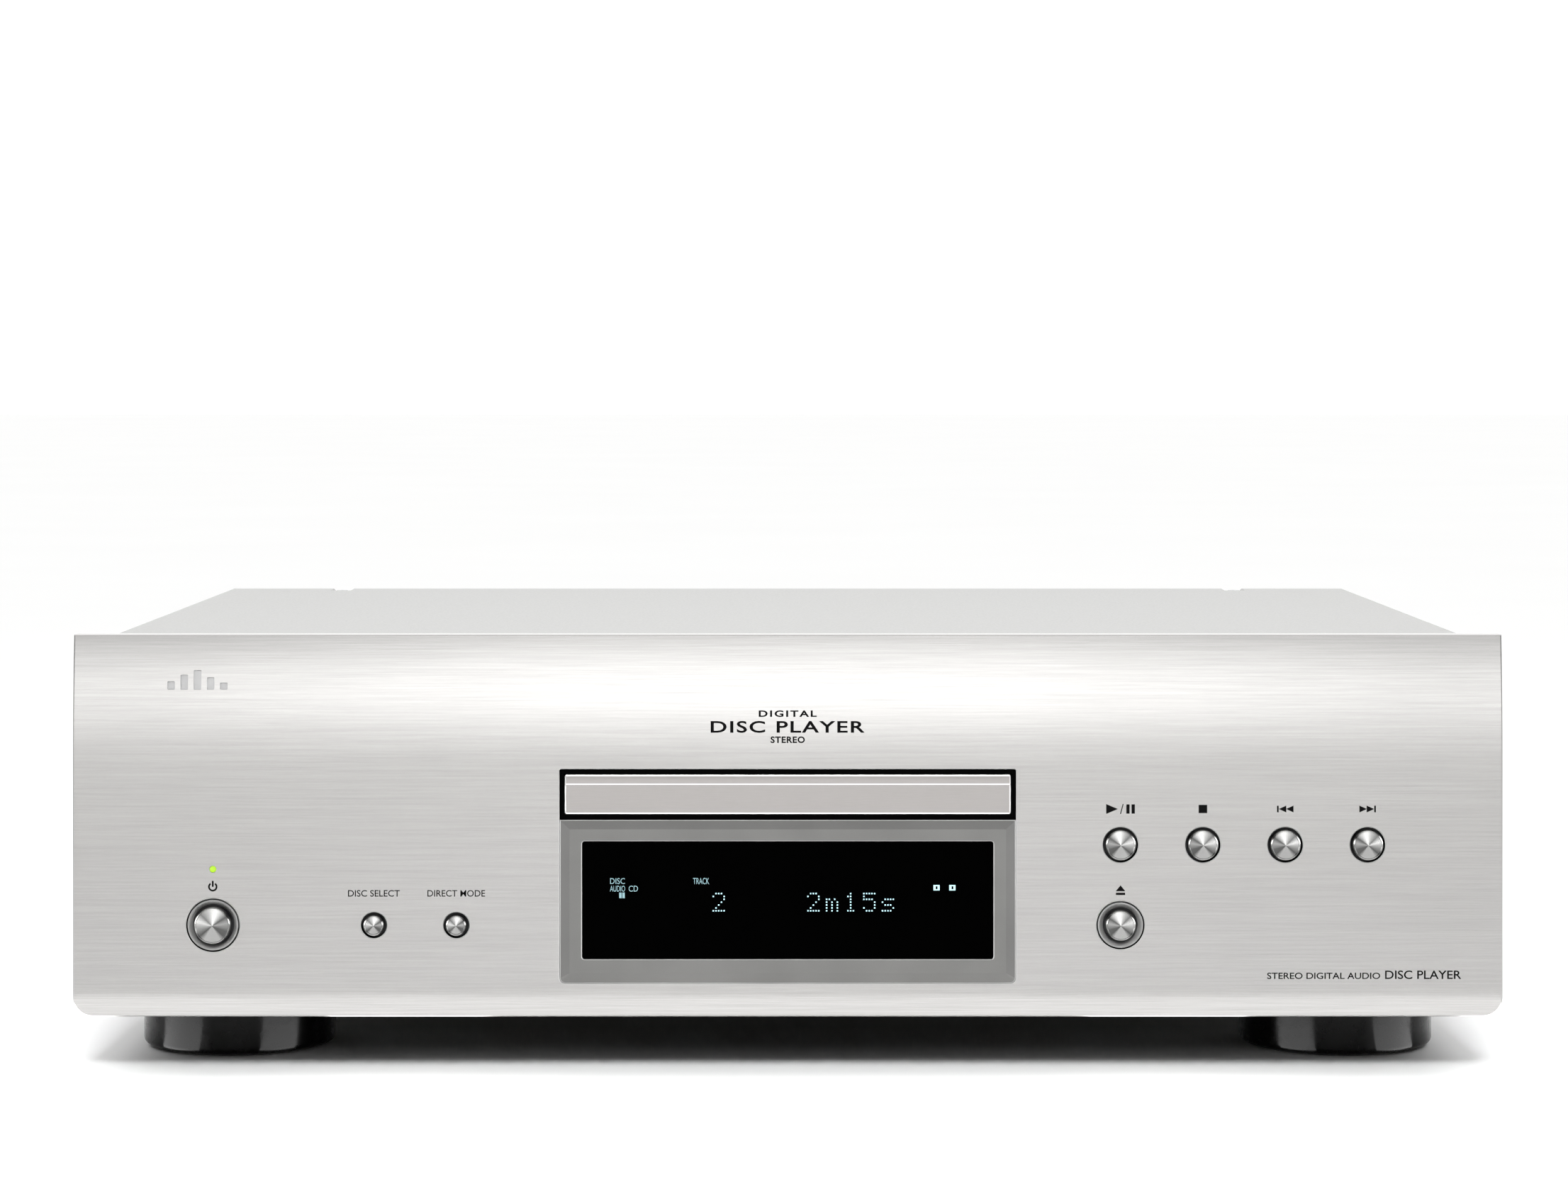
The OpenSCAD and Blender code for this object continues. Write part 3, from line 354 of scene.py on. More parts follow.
def spun_aluminium_painted_fan(name, colour, way=1, roughness=0.25):
    """A turned face, marked in circles round the Y axis, with real anisotropic gloss and a painted fan of
    highlight and shade wedges in its base colour. way -1 mirrors them.
    """
    s = Surface(name, colour, roughness, 1.0, Anisotropic=0.9)
    s.brushed("Y", 0.25)
    spin = s.add("ShaderNodeVectorMath", operation="SUBTRACT")
    spin.inputs[1].default_value = (0.5, 0.5, 0.5)
    s.tree.links.new(s.coordinates.outputs["Generated"], spin.inputs[0])
    axes = s.add("ShaderNodeSeparateXYZ")
    s.join(spin.outputs[0], axes, 0)
    angle = s.add("ShaderNodeMath", operation="ARCTAN2")
    s.join(axes.outputs["X"], angle, 0)
    s.join(axes.outputs["Z"], angle, 1)
    turn = s.add("ShaderNodeMapRange", {"From Min": -math.pi, "From Max": math.pi,
                                        "To Min": -0.5 * way, "To Max": 0.5 * way})
    s.join(angle.outputs[0], turn, "Value")
    wrapped = s.add("ShaderNodeMath", operation="FRACT")
    s.join(turn.outputs[0], wrapped, 0)
    # the base colour is a painted fan of highlights and shade round the cap's centre
    fan = s.add("ShaderNodeValToRGB")
    stops = fan.color_ramp.elements
    while len(stops) < len(PAINTED_WEDGES):
        stops.new(0.5)
    for stop, (degrees, light) in zip(stops, PAINTED_WEDGES):
        stop.position = degrees / 360
        stop.color = (*shade(colour, light), 1)
    s.join(wrapped.outputs[0], fan, 0)
    s.join(fan.outputs[0], s.shader, "Base Color")
    return s.material


def anodised(name, colour, roughness=0.34):
    """Satin anodised aluminium with a fine grain along X."""
    s = Surface(name, colour, roughness, 0.85, Anisotropic=0.4)
    grain = s.noise((0.15, 3.0, 4.0), 2.0)
    s.brushed("X", 0.0)
    s.tint(grain, shade(colour, 0.97), shade(colour, 1.02))
    s.rough(grain, roughness - 0.03, roughness + 0.03)
    s.bump(s.noise((2.0, 2.0, 2.0), 2.0), 0.002)
    return s.material


def plastic(name, colour, roughness, grain=1.6, height=0.012, metallic=0.0, ior=1.5):
    """Moulded plastic with a spark-eroded grain."""
    s = Surface(name, colour, roughness, metallic, IOR=ior)
    texture = s.noise((grain, grain, grain), 3.0)
    cloud = s.noise((0.05, 0.05, 0.05), 2.0)
    s.tint(cloud, shade(colour, 0.93), shade(colour, 1.07))
    s.rough(texture, roughness - 0.05, roughness + 0.05)
    s.bump(texture, height)
    return s.material


def gloss_plastic(name, colour, roughness=0.08, ior=1.46, turned_up=0.0):
    """Polished moulded plastic, faintly wavy. turned_up stretches highlights along a turned wall."""
    s = Surface(name, colour, roughness, IOR=ior, Anisotropic=turned_up)
    if turned_up:
        s.brushed("Z", 0.25)
    s.tint(s.noise((0.08, 0.08, 0.08)), shade(colour, 0.85), shade(colour, 1.2))
    s.rough(s.noise((0.3, 0.3, 0.3)), roughness * 0.8, roughness * 1.3)
    s.bump(s.noise((0.06, 0.06, 0.06), 1.0), 0.01)
    return s.material


def powder_coat(name, colour, roughness=0.42):
    """Fine silver paint on sheet steel: faint orange peel and metal flake."""
    s = Surface(name, colour, roughness, 0.25)
    peel = s.noise((1.3, 1.3, 1.3), 2.0)
    flake = s.noise((6.0, 6.0, 6.0), 1.0)
    s.tint(flake, shade(colour, 0.94), shade(colour, 1.05))
    s.rough(peel, roughness - 0.05, roughness + 0.05)
    s.bump(peel, 0.008)
    return s.material


def plated_steel(name, colour, roughness=0.36):
    """Zinc-plated sheet with a soft mottled spangle."""
    s = Surface(name, colour, roughness, 1.0)
    spangle = s.noise((0.12, 0.12, 0.12), 4.0)
    s.tint(spangle, shade(colour, 0.86), shade(colour, 1.1))
    s.rough(spangle, roughness - 0.08, roughness + 0.08)
    s.bump(s.noise((0.8, 0.8, 0.8)), 0.004)
    return s.material


def polished_metal(name, colour, roughness=0.14):
    """Ground or plated metal with fine turning marks."""
    s = Surface(name, colour, roughness, 1.0)
    marks = s.noise((0.6, 5.0, 0.6), 2.0)
    s.tint(marks, shade(colour, 0.92), shade(colour, 1.05))
    s.rough(marks, roughness * 0.7, roughness * 1.4)
    return s.material


def felt(name, colour):
    """Dense felt with a fibrous nap."""
    s = Surface(name, colour, 0.95)
    fibre = s.noise((3.0, 3.0, 3.0), 6.0, 0.7)
    s.tint(fibre, shade(colour, 0.6), shade(colour, 1.6))
    s.bump(fibre, 0.12)
    return s.material


def rubber(name, colour):
    """Matt moulded rubber."""
    s = Surface(name, colour, 0.75)
    s.tint(s.noise((0.5, 0.5, 0.5)), shade(colour, 0.8), shade(colour, 1.3))
    s.bump(s.noise((2.5, 2.5, 2.5)), 0.01)
    return s.material


def circuit_board(name, colour):
    """Green solder mask with a faint pattern of traces."""
    s = Surface(name, colour, 0.4)
    traces = s.noise((0.35, 0.35, 0.35), 1.0)
    s.tint(traces, shade(colour, 0.75), shade(colour, 1.25))
    s.bump(s.noise((1.0, 1.0, 1.0)), 0.01)
    return s.material


def laminated_steel(name, colour):
    """A stack of thin sheets, seen as fine lines across the core."""
    s = Surface(name, colour, 0.45, 0.9)
    sheets = s.noise((0.02, 2.0, 0.02), 1.0)
    s.tint(sheets, shade(colour, 0.7), shade(colour, 1.15))
    s.bump(sheets, 0.05)
    return s.material


def ink(name, colour):
    """Screen-printed ink, slightly uneven."""
    s = Surface(name, colour, 0.6, IOR=1.03)
    s.tint(s.noise((2.5, 2.5, 2.5)), shade(colour, 0.8), shade(colour, 1.3))
    return s.material


def glow(name, colour, strength):
    """Phosphor that glows a little unevenly."""
    s = Surface(name, shade(colour, 0.5), 0.5)
    s.set(s.shader, {"Emission Strength": strength})
    mix = s.add("ShaderNodeMix", data_type="RGBA")
    mix.inputs[6].default_value = (*shade(colour, 0.85), 1)
    mix.inputs[7].default_value = (*colour, 1)
    s.join(s.noise((3.0, 3.0, 3.0)), mix, 0)
    s.join(mix.outputs[2], s.shader, "Emission Color")
    return s.material


PANEL = brushed_aluminium("brushed_panel", (0.382, 0.376, 0.369), 0.16)
# both cap materials paint a fan of highlight and shade wedges into their colour; the left one has it
# mirrored
CAP = spun_aluminium_painted_fan("cap_aluminium", (0.68, 0.68, 0.67))
CAP_LEFT = spun_aluminium_painted_fan("cap_aluminium_left", (0.68, 0.68, 0.67), -1)
# Painted highlight: the holes' chamfers get a lighter colour than the panel.
CUT_EDGE_PAINTED_HIGHLIGHT = plastic("cut_edge_painted_highlight", (0.36, 0.36, 0.355), 0.45, metallic=0.3)
# Painted highlight: a much lighter colour for the door's step and bevels.
DOOR_EDGE_PAINTED_HIGHLIGHT = plastic("door_edge_painted_highlight", (0.8, 0.79, 0.78), 0.4, metallic=0.3)
# Darker than the panel: painted shade in the engraved bars' recess, on their own etched finish.
ETCHED_AND_SHADED = plastic("etched_mark_shaded", (0.29, 0.29, 0.29), 0.5, metallic=0.3)
# Painted shade: the holes' walls are near black and barely reflect.
HOLE_WALL_PAINTED_SHADE = plastic("hole_wall_painted_shade", (0.002, 0.002, 0.002), 0.8, ior=1.03)
DOOR = anodised("door_aluminium", (0.292, 0.279, 0.272))
BEZEL = plastic("silver_plastic", (0.104, 0.103, 0.100), 0.45, 2.2, 0.01, 0.3)
# Painted shade: a darker copy of the bezel colour for the upper and side slopes of its dish.
BEZEL_SHADE = plastic("silver_plastic_painted_shade", (0.082, 0.081, 0.079), 0.45, 2.2, 0.01, 0.3)
# Painted highlight: the bezel's outer chamfer and window lip are lighter.
BEZEL_EDGE_PAINTED_HIGHLIGHT = plastic("silver_plastic_painted_highlight", (0.24, 0.24, 0.235), 0.45, 2.2, 0.01, 0.3)
RING = plastic("ring_plastic", (0.185, 0.185, 0.182), 0.45, 2.2, 0.006, 0.3)
DARK = plastic("dark_plastic", (0.018, 0.018, 0.019), 0.55)
TRAY = plastic("tray_black", (0.02, 0.02, 0.021), 0.48, 1.2, 0.02)
FRAME = gloss_plastic("surround_black", (0.0006, 0.0006, 0.0006), 0.3, 1.04)
GLOSS = gloss_plastic("gloss_black", (0.002, 0.002, 0.002), 0.24, 1.22, 0.9)
GLASS = gloss_plastic("display_glass", (0.0002, 0.0002, 0.0002), 0.04, 1.03)
WHITE = plastic("white_plastic", (0.72, 0.70, 0.66), 0.45)
PAINT = powder_coat("silver_paint", (0.31, 0.31, 0.305))
BLACK_PAINT = plastic("black_paint", (0.01, 0.01, 0.01), 0.8, 0.8, 0.02, ior=1.06)
STEEL = plated_steel("plated_steel", (0.62, 0.62, 0.63))
MOTOR = plated_steel("motor_steel", (0.55, 0.55, 0.57), 0.3)
CHROME = polished_metal("polished_steel", (0.75, 0.75, 0.76))
GOLD = polished_metal("gold_plate", (0.85, 0.62, 0.26), 0.2)
RUBBER = rubber("rubber_black", (0.02, 0.02, 0.02))
FELT = felt("felt_pad", (0.045, 0.045, 0.045))
BOARD = circuit_board("circuit_board", (0.02, 0.12, 0.05))
CORE = laminated_steel("core_steel", (0.3, 0.3, 0.31))
INK = ink("printed_ink", (0.004, 0.004, 0.004))
PHOSPHOR = glow("display_phosphor", (0.42, 0.72, 0.80), 0.85)
PHOSPHOR_DIM = glow("display_phosphor_dim", (0.21, 0.36, 0.40), 0.6)
LAMP = glow("green_light", (0.34, 0.60, 0.002), 0.6)

SLOT_LOOKS = {"brushed_panel": PANEL, "cap_aluminium": CAP, "door_aluminium": DOOR, "silver_plastic": BEZEL,
              "dark_plastic": DARK, "gloss_black": GLOSS, "tray_black": TRAY, "white_plastic": WHITE,
              "display_glass": GLASS, "green_light": LAMP, "silver_paint": PAINT, "plated_steel": STEEL,
              "polished_steel": CHROME, "gold_plate": GOLD, "rubber_black": RUBBER, "felt_pad": FELT,
              "circuit_board": BOARD, "motor_steel": MOTOR, "core_steel": CORE, "black_paint": BLACK_PAINT}


def dress_cad_nodes():
    """Every CAD node that stays gets its slot's material, and softened edges where it is cheap."""
    for part in frame["record"]["subparts"]:
        node = frame["nodes"][part["node"]]
        node.data.materials.clear()
        node.data.materials.append(SLOT_LOOKS[part["material_slot"]])
        weld = node.modifiers.new("weld", "WELD")
        weld.merge_threshold = 0.002 * MM
        bevel = node.modifiers.new("edges", "BEVEL")
        bevel.width = 0.12 * MM
        bevel.segments = 2
        bevel.limit_method = "ANGLE"
        bevel.angle_limit = math.radians(40)
        bevel.harden_normals = True


# ---------- front panel ----------

EDGE = 0.35          # chamfer round the panel
HOLE_EDGE = 0.25     # chamfer round its holes
SIDE_LEVELS = [26.6, 28.4, 96.3, 100.0, 104.0, 108.0, 112.0, 115.5, 118.3, 124.5, 128.0, 131.5, 134.2]
CORNER_STEPS = 8
WINDOW = (-69.3, 69.3, 29.34, 94.37)
TRAY_HOLE = (-67.95, 67.95, 80.5, 92.9)
LED_HOLE_R = 1.05
BAR_HEIGHTS = [2.4, 4.4, 5.8, 3.6, 2.0]      # the engraved mark: five level bars
BAR_START, BAR_PITCH, BAR_W, BAR_LOW = -188.4, 4.0, 2.2, 118.5
BAR_DEPTH = 0.4


def panel_outline(inset):
    """The panel from the front: round lower corners, and a point at each level up both sides."""
    left, right = -HALF_W + inset, HALF_W - inset
    cz, r = PANEL_LOW.z + CORNER_R, CORNER_R - inset
    points = [(left, z) for z in reversed(SIDE_LEVELS)]
    for cx, start in ((-HALF_W + CORNER_R, 180), (HALF_W - CORNER_R, 270)):
        for k in range(CORNER_STEPS + 1):
            a = math.radians(start + 90 * k / CORNER_STEPS)
            points.append((cx + r * math.cos(a), cz + r * math.sin(a)))
    points += [(right, z) for z in SIDE_LEVELS]
    points += [(right, PANEL_HIGH.z - inset), (left, PANEL_HIGH.z - inset)]
    return points


def make_front_panel():
    """The panel with its holes, its engraved mark and the pocket behind its skin."""
    shell = Shell()
    front = shell.ring(panel_outline(EDGE), face_at)
    lip = shell.ring(panel_outline(0), lambda z: face_at(z) + EDGE)
    side = shell.ring(panel_outline(0), PANEL_BACK - 0.2)
    back = shell.ring(panel_outline(0.2), PANEL_BACK)
    shell.bridge(front, lip)
    shell.bridge(lip, side)
    shell.bridge(side, back)

    openings = [lambda d: rounded(*WINDOW, 1.7, 0.6, d)]
    for name, (_, hole_r) in BUTTONS.items():
        openings.append(lambda d, at=BUTTON_AT[name], r=hole_r: round_hole(*at, r - d))
    openings.append(lambda d: round_hole(*LED_AT, LED_HOLE_R - d, 32))
    edges = [0.15] + [HOLE_EDGE] * len(BUTTONS) + [0.1]
    rims = [shell.opening(outline, FACE_Y, FACE_Y + SKIN, edge) for outline, edge in zip(openings, edges)]

    bars = []
    first_mark = len(shell.faces)
    for k, height in enumerate(BAR_HEIGHTS):
        x = BAR_START + k * BAR_PITCH
        bar = lambda d, x=x, h=height: rounded(x, x + BAR_W, BAR_LOW, BAR_LOW + h, 0.25, 0.25, d, 3)
        rim, floor = shell.opening(bar, face_at, lambda z: face_at(z) + BAR_DEPTH, 0.08)
        shell.fill(floor, curved=True)
        bars.append(rim)
    marks = set(range(first_mark, len(shell.faces)))

    count = len(SIDE_LEVELS)
    last = count + 2 * (CORNER_STEPS + 1) + count - 1
    strips = [(front[k], front[last - k]) for k in range(count + CORNER_STEPS)]
    shell.fill(front, [r[0] for r in rims] + bars, strips, curved=True)

    pocket_edge = rounded(-HALF_W + 6, HALF_W - 6, PANEL_LOW.z + 5, PANEL_HIGH.z - 5, 1, 1)
    pocket_back = shell.ring(pocket_edge, PANEL_BACK)
    pocket_floor = shell.ring(pocket_edge, FACE_Y + SKIN)
    shell.bridge(pocket_floor, pocket_back)
    shell.fill(back, [pocket_back], facing_back=True)
    shell.fill(pocket_floor, [r[1] for r in rims], facing_back=True)
    panel = add_shell("panel_face", shell, PANEL, stands_for="front_panel", slot="brushed_panel")
    # the chamfers round the holes are painted lighter as a highlight
    recolour(panel, CUT_EDGE_PAINTED_HIGHLIGHT, shell.cut)
    # the holes' walls are painted near black as shade
    recolour(panel, HOLE_WALL_PAINTED_SHADE, shell.wall - marks)
    # the engraved bars, with their chamfers and walls, are painted darker as shade in the recess
    recolour(panel, ETCHED_AND_SHADED, marks)


# ---------- tray door, surround, display ----------

def extruded(profile, half_w, bevel):
    """A bar along X from a (y, z) profile. Its ends are bevelled by pulling the profile inward."""
    my = sum(p[0] for p in profile) / len(profile)
    mz = sum(p[1] for p in profile) / len(profile)
    points, faces = [], []
    stations = [(-half_w, 1), (-half_w + bevel, 0), (half_w - bevel, 0), (half_w, 1)]
    for x, pulled in stations:
        for y, z in profile:
            dy, dz = my - y, mz - z
            pull = bevel * pulled
            points.append((x, y + math.copysign(min(abs(dy), pull), dy),
                           z + math.copysign(min(abs(dz), pull), dz)))
    n = len(profile)
    for s in range(len(stations) - 1):
        for k in range(n):
            a, b = s * n + k, s * n + (k + 1) % n
            faces.append((a, b, b + n, a + n))
    faces.append(tuple(range(n))[::-1])
    faces.append(tuple(range(3 * n, 4 * n)))
    return points, faces


def make_tray_door():
    """The aluminium bar on the tray's front; its step, edges and end bevels are painted lighter as
    highlights.
    """
    low, high = node_box("tray_door")
    y, back, z0, z1 = low.y, high.y, low.z, high.z
    ridge = z0 + 9.05
    profile = [(y + 0.25, z0), (back - 0.1, z0), (back, z0 + 0.15), (back, z1 - 0.15),
               (back - 0.1, z1), (y + 0.6, z1), (y + 0.43, z1 - 0.45), (y + 0.4, ridge + 0.17),
               (y + 0.25, ridge), (y + 0.04, ridge - 0.13), (y, ridge - 0.18), (y, z0 + 0.45)]
    bright = [5, 7, 8, 9, 11]       # the sides of the profile painted lighter as highlights
    points, faces = extruded(profile, high.x, 0.4)
    door = add_piece("tray_door_bar", points, faces, DOOR, body="tray", stands_for="tray_door",
                     slot="door_aluminium", sharp=20)
    n = len(profile)
    # painted highlights: the end bevels and the chosen sides get the lighter colour
    recolour(door, DOOR_EDGE_PAINTED_HIGHLIGHT, [*range(n), *(n + k for k in bright), *range(2 * n, 3 * n)])


def make_tray_surround():
    """The black frame round the tray's slot."""
    low, high = node_box("tray_surround")
    shell = Shell()
    outer = lambda d: rounded(low.x, high.x, low.z, high.z, 0.05, 0.6, d)
    hole = lambda d: rounded(*TRAY_HOLE, 0.15, 0.15, d)
    front = shell.ring(outer(0.15), low.y)
    lip = shell.ring(outer(0), low.y + 0.15)
    back = shell.ring(outer(0), high.y)
    shell.bridge(front, lip)
    shell.bridge(lip, back)
    rim, rim_back = shell.opening(hole, low.y, high.y, 0.2)
    shell.fill(front, [rim])
    shell.fill(back, [rim_back], facing_back=True)
    add_shell("tray_opening", shell, FRAME, stands_for="tray_surround", slot="gloss_black")


def make_display():
    """The grey frame, dished towards the window, and the dark window in it."""
    low, high = node_box("display_bezel")
    glass_low, glass_high = node_box("display_window")
    shell = Shell()
    outer = lambda d: rounded(low.x, high.x, low.z, high.z, 1.6, 0.05, d)
    slack = 0.05
    window = lambda d: rounded(glass_low.x - slack, glass_high.x + slack,
                               glass_low.z - slack, glass_high.z + slack, 0.8, 0.8, d)
    edge = shell.ring(outer(0), low.y + 0.12)
    front = shell.ring(outer(0.25), low.y)
    slope = shell.ring(outer(2.9), low.y + 0.75)
    ledge = shell.ring(window(-0.25), low.y + 0.82)
    drop = shell.ring(window(0), low.y + 1.0)
    back = shell.ring(window(0), high.y)
    outer_back = shell.ring(outer(0), high.y)
    shell.bridge(front, edge)
    rim = set(range(len(shell.faces)))
    shell.bridge(front, slope, inward=True)
    band = set(range(len(rim), len(shell.faces)))
    shell.fill(slope, [ledge])
    first = len(shell.faces)
    shell.bridge(ledge, drop, inward=True)
    rim.update(range(first, len(shell.faces)))
    shell.bridge(drop, back, inward=True)
    shell.bridge(edge, outer_back)
    shell.fill(outer_back, [back], facing_back=True)
    bezel = add_shell("bezel_frame", shell, BEZEL, stands_for="display_bezel", slot="silver_plastic",
                      sharp=8)
    # the frame's outer chamfer and the window's lip are painted lighter as highlights
    recolour(bezel, BEZEL_EDGE_PAINTED_HIGHLIGHT, rim)
    # the upper and side slopes of the dish are painted darker as shade; the bottom slope keeps the plain
    # colour
    recolour(bezel, BEZEL_SHADE, [f for f in band if bezel.data.polygons[f].center.z > (low.z + 4) * MM])

    glass = Shell()
    pane = lambda d: rounded(glass_low.x, glass_high.x, glass_low.z, glass_high.z, 0.75, 0.75, d)
    front = glass.ring(pane(0.15), glass_low.y)
    edge = glass.ring(pane(0), glass_low.y + 0.15)
    back = glass.ring(pane(0), glass_high.y)
    glass.fill(front)
    glass.bridge(front, edge)
    glass.bridge(edge, back)
    glass.fill(back, facing_back=True)
    add_shell("display_pane", glass, GLASS, stands_for="display_window", slot="display_glass")


# ---------- buttons, rings, lamp ----------

CAP_EASE = 0.14      # the caps are polished down by this much


def make_buttons():
    """Spun caps with a fine raised rim, each on a plastic pusher."""
    for name, (r, _) in BUTTONS.items():
        at = BUTTON_AT[name]
        r -= CAP_EASE
        y, back = CAP_FRONT, FACE_Y + SKIN - 1.2
        cap = [(0, y + 0.06), (0.15, y + 0.06), (r * 0.5, y + 0.11), (r - 0.55, y + 0.2),
               (r - 0.45, y + 0.02), (r - 0.4, y), (r - 0.3, y), (r - 0.22, y + 0.04),
               (r - 0.04, y + 0.30), (r, y + 0.42), (r, back - 0.2), (r - 0.2, back), (0, back)]
        # caps on the left take the mirrored painted highlight fan
        add_turned(name + "_cap", cap, at, CAP if at[0] > 0 else CAP_LEFT, body=name + "_button_body",
                   stands_for=name + "_button", slot="cap_aluminium", sharp=18)
        end = node_box(name + "_button")[1].y
        plate = FACE_Y + SKIN + 2
        stem_end = end - 1.4
        pusher = [(0, back + 0.05), (r - 0.5, back + 0.05), (r - 0.5, plate + 0.4), (r + 0.9, plate + 0.4),
                  (r + 1, plate + 0.5), (r + 1, plate + 1.3), (r + 0.9, plate + 1.4), (2.2, plate + 1.4),
                  (2, plate + 1.6), (2, stem_end - 0.1), (1.9, stem_end), (1.2, stem_end),
                  (1.2, end - 0.15), (1.05, end), (0, end)]
        add_turned(name + "_pusher", pusher, at, DARK, steps=48, body=name + "_button_body",
                   slot="dark_plastic")


def make_rings():
    """The dished rings round the two large buttons."""
    for name in ("power", "eject"):
        cap_r, hole_r = BUTTONS[name]
        y, outer, inner = FACE_Y, hole_r - 0.4, cap_r + 0.6
        ring = [(outer, y + SKIN), (outer, y + 0.35), (outer - 0.06, y + 0.22), (outer - 0.12, y + 0.18),
                (outer - 0.35, y + 0.18), (outer - 0.5, y + 0.26), (outer - 0.8, y + 0.5),
                (inner + 0.3, y + 1.3), (inner + 0.1, y + 1.6), (inner, y + 2.0), (inner, y + SKIN),
                (outer, y + SKIN)]
        add_turned(name + "_dish", ring[::-1], BUTTON_AT[name], RING, stands_for=name + "_ring",
                   slot="silver_plastic")


def make_lamp():
    """The domed power light."""
    low, high = node_box("power_led")
    r = 1.0
    back = high.y - 4
    lens = [(0, low.y + 0.12), (0.35, low.y + 0.14), (0.75, low.y + 0.22), (r, low.y + 0.36),
            (r, low.y + 0.6), (r, back), (0, back)]
    add_turned("power_lamp", lens, LED_AT, LAMP, steps=48, stands_for="power_led", slot="green_light",
               sharp=50)


# ---------- feet ----------

def make_feet():
    """Hollow round feet with a rounded lower edge and a groove for the pad."""
    for name in ("foot_front_left", "foot_front_right", "foot_rear_left", "foot_rear_right"):
        low, high = node_box(name)
        at = (low.x + high.x) / 2, (low.y + high.y) / 2
        r = (high.x - low.x) / 2
        z0, z1 = low.z, high.z
        wall = [(r, z1 - 0.3), (r - 0.3, z1), (r - 3.0, z1), (r - 3.0, z0 + 4), (10, z0 + 4), (10, z1),
                (2.2, z1), (2.2, z0 + 11.4), (7, z0 + 11.4), (7, z0 + 0.2), (7.2, z0), (14.6, z0),
                (14.8, z0 + 0.2), (14.8, z0 + 1.1), (26.2, z0 + 1.1), (26.2, z0 + 0.2), (26.4, z0),
                (r - 2.3, z0), (r - 1.5, z0 + 0.25), (r - 0.7, z0 + 0.75), (r - 0.2, z0 + 1.4),
                (r, z0 + 2.2), (r, z1 - 0.3)]
        add_turned(name + "_shell", wall[::-1], at, GLOSS, axis="Z", steps=192, stands_for=name,
                   slot="gloss_black")


# ---------- printed marks ----------

PRINT_LIFT = 0.03


def add_print(name, polygons, material=INK, slot=None, y=None, lift=PRINT_LIFT):
    """Thin printed shapes on the panel's face. polygons are outlines of (x, z), anticlockwise."""
    points, faces = [], []
    for outline in polygons:
        start, n = len(points), len(outline)
        for depth in (lift, 0.0):
            points += [(px, (face_at(pz) if y is None else y) - depth, pz) for px, pz in outline]
        faces.append(tuple(range(start, start + n)))
        for k in range(n):
            j = (k + 1) % n
            faces.append((start + j, start + k, start + n + k, start + n + j))
    return add_piece(name, points, faces, material, slot=slot)


def box_shape(x0, x1, z0, z1):
    return [(x0, z0), (x1, z0), (x1, z1), (x0, z1)]


def add_words(name, text, x, z, height, width, material=INK, slot=None, y=None, align="CENTER",
              weight=0.0, track=1.0):
    """Lettering stretched to a width and cap height, laid on the panel's face at x and centred on z."""
    curve = bpy.data.curves.new(name, "FONT")
    curve.body = text
    curve.size = 1.0
    curve.space_character = track
    curve.offset = weight
    curve.resolution_u = 4
    holder = bpy.data.objects.new(name, curve)
    bpy.context.scene.collection.objects.link(holder)
    bpy.context.view_layer.update()
    mesh = bpy.data.meshes.new_from_object(holder)
    bpy.data.objects.remove(holder)
    xs = [v.co.x for v in mesh.vertices]
    ys = [v.co.y for v in mesh.vertices]
    sx, sz = width / (max(xs) - min(xs)), height / (max(ys) - min(ys))
    left = x - width / 2 if align == "CENTER" else x - width
    points = []
    for v in mesh.vertices:
        pz = z - height / 2 + (v.co.y - min(ys)) * sz
        points.append((left + (v.co.x - min(xs)) * sx, (face_at(pz) if y is None else y) - PRINT_LIFT, pz))
    faces = [tuple(p.vertices) for p in mesh.polygons]
    return add_piece(name, points, faces, material, slot=slot)


def arc_band(cx, cz, r0, r1, a0, a1, steps=20):
    """Outline of part of a ring, between two angles in degrees."""
    turns = [math.radians(a0 + (a1 - a0) * k / steps) for k in range(steps + 1)]
    outer = [(cx + r1 * math.cos(a), cz + r1 * math.sin(a)) for a in turns]
    inner = [(cx + r0 * math.cos(a), cz + r0 * math.sin(a)) for a in turns]
    return outer + inner[::-1]


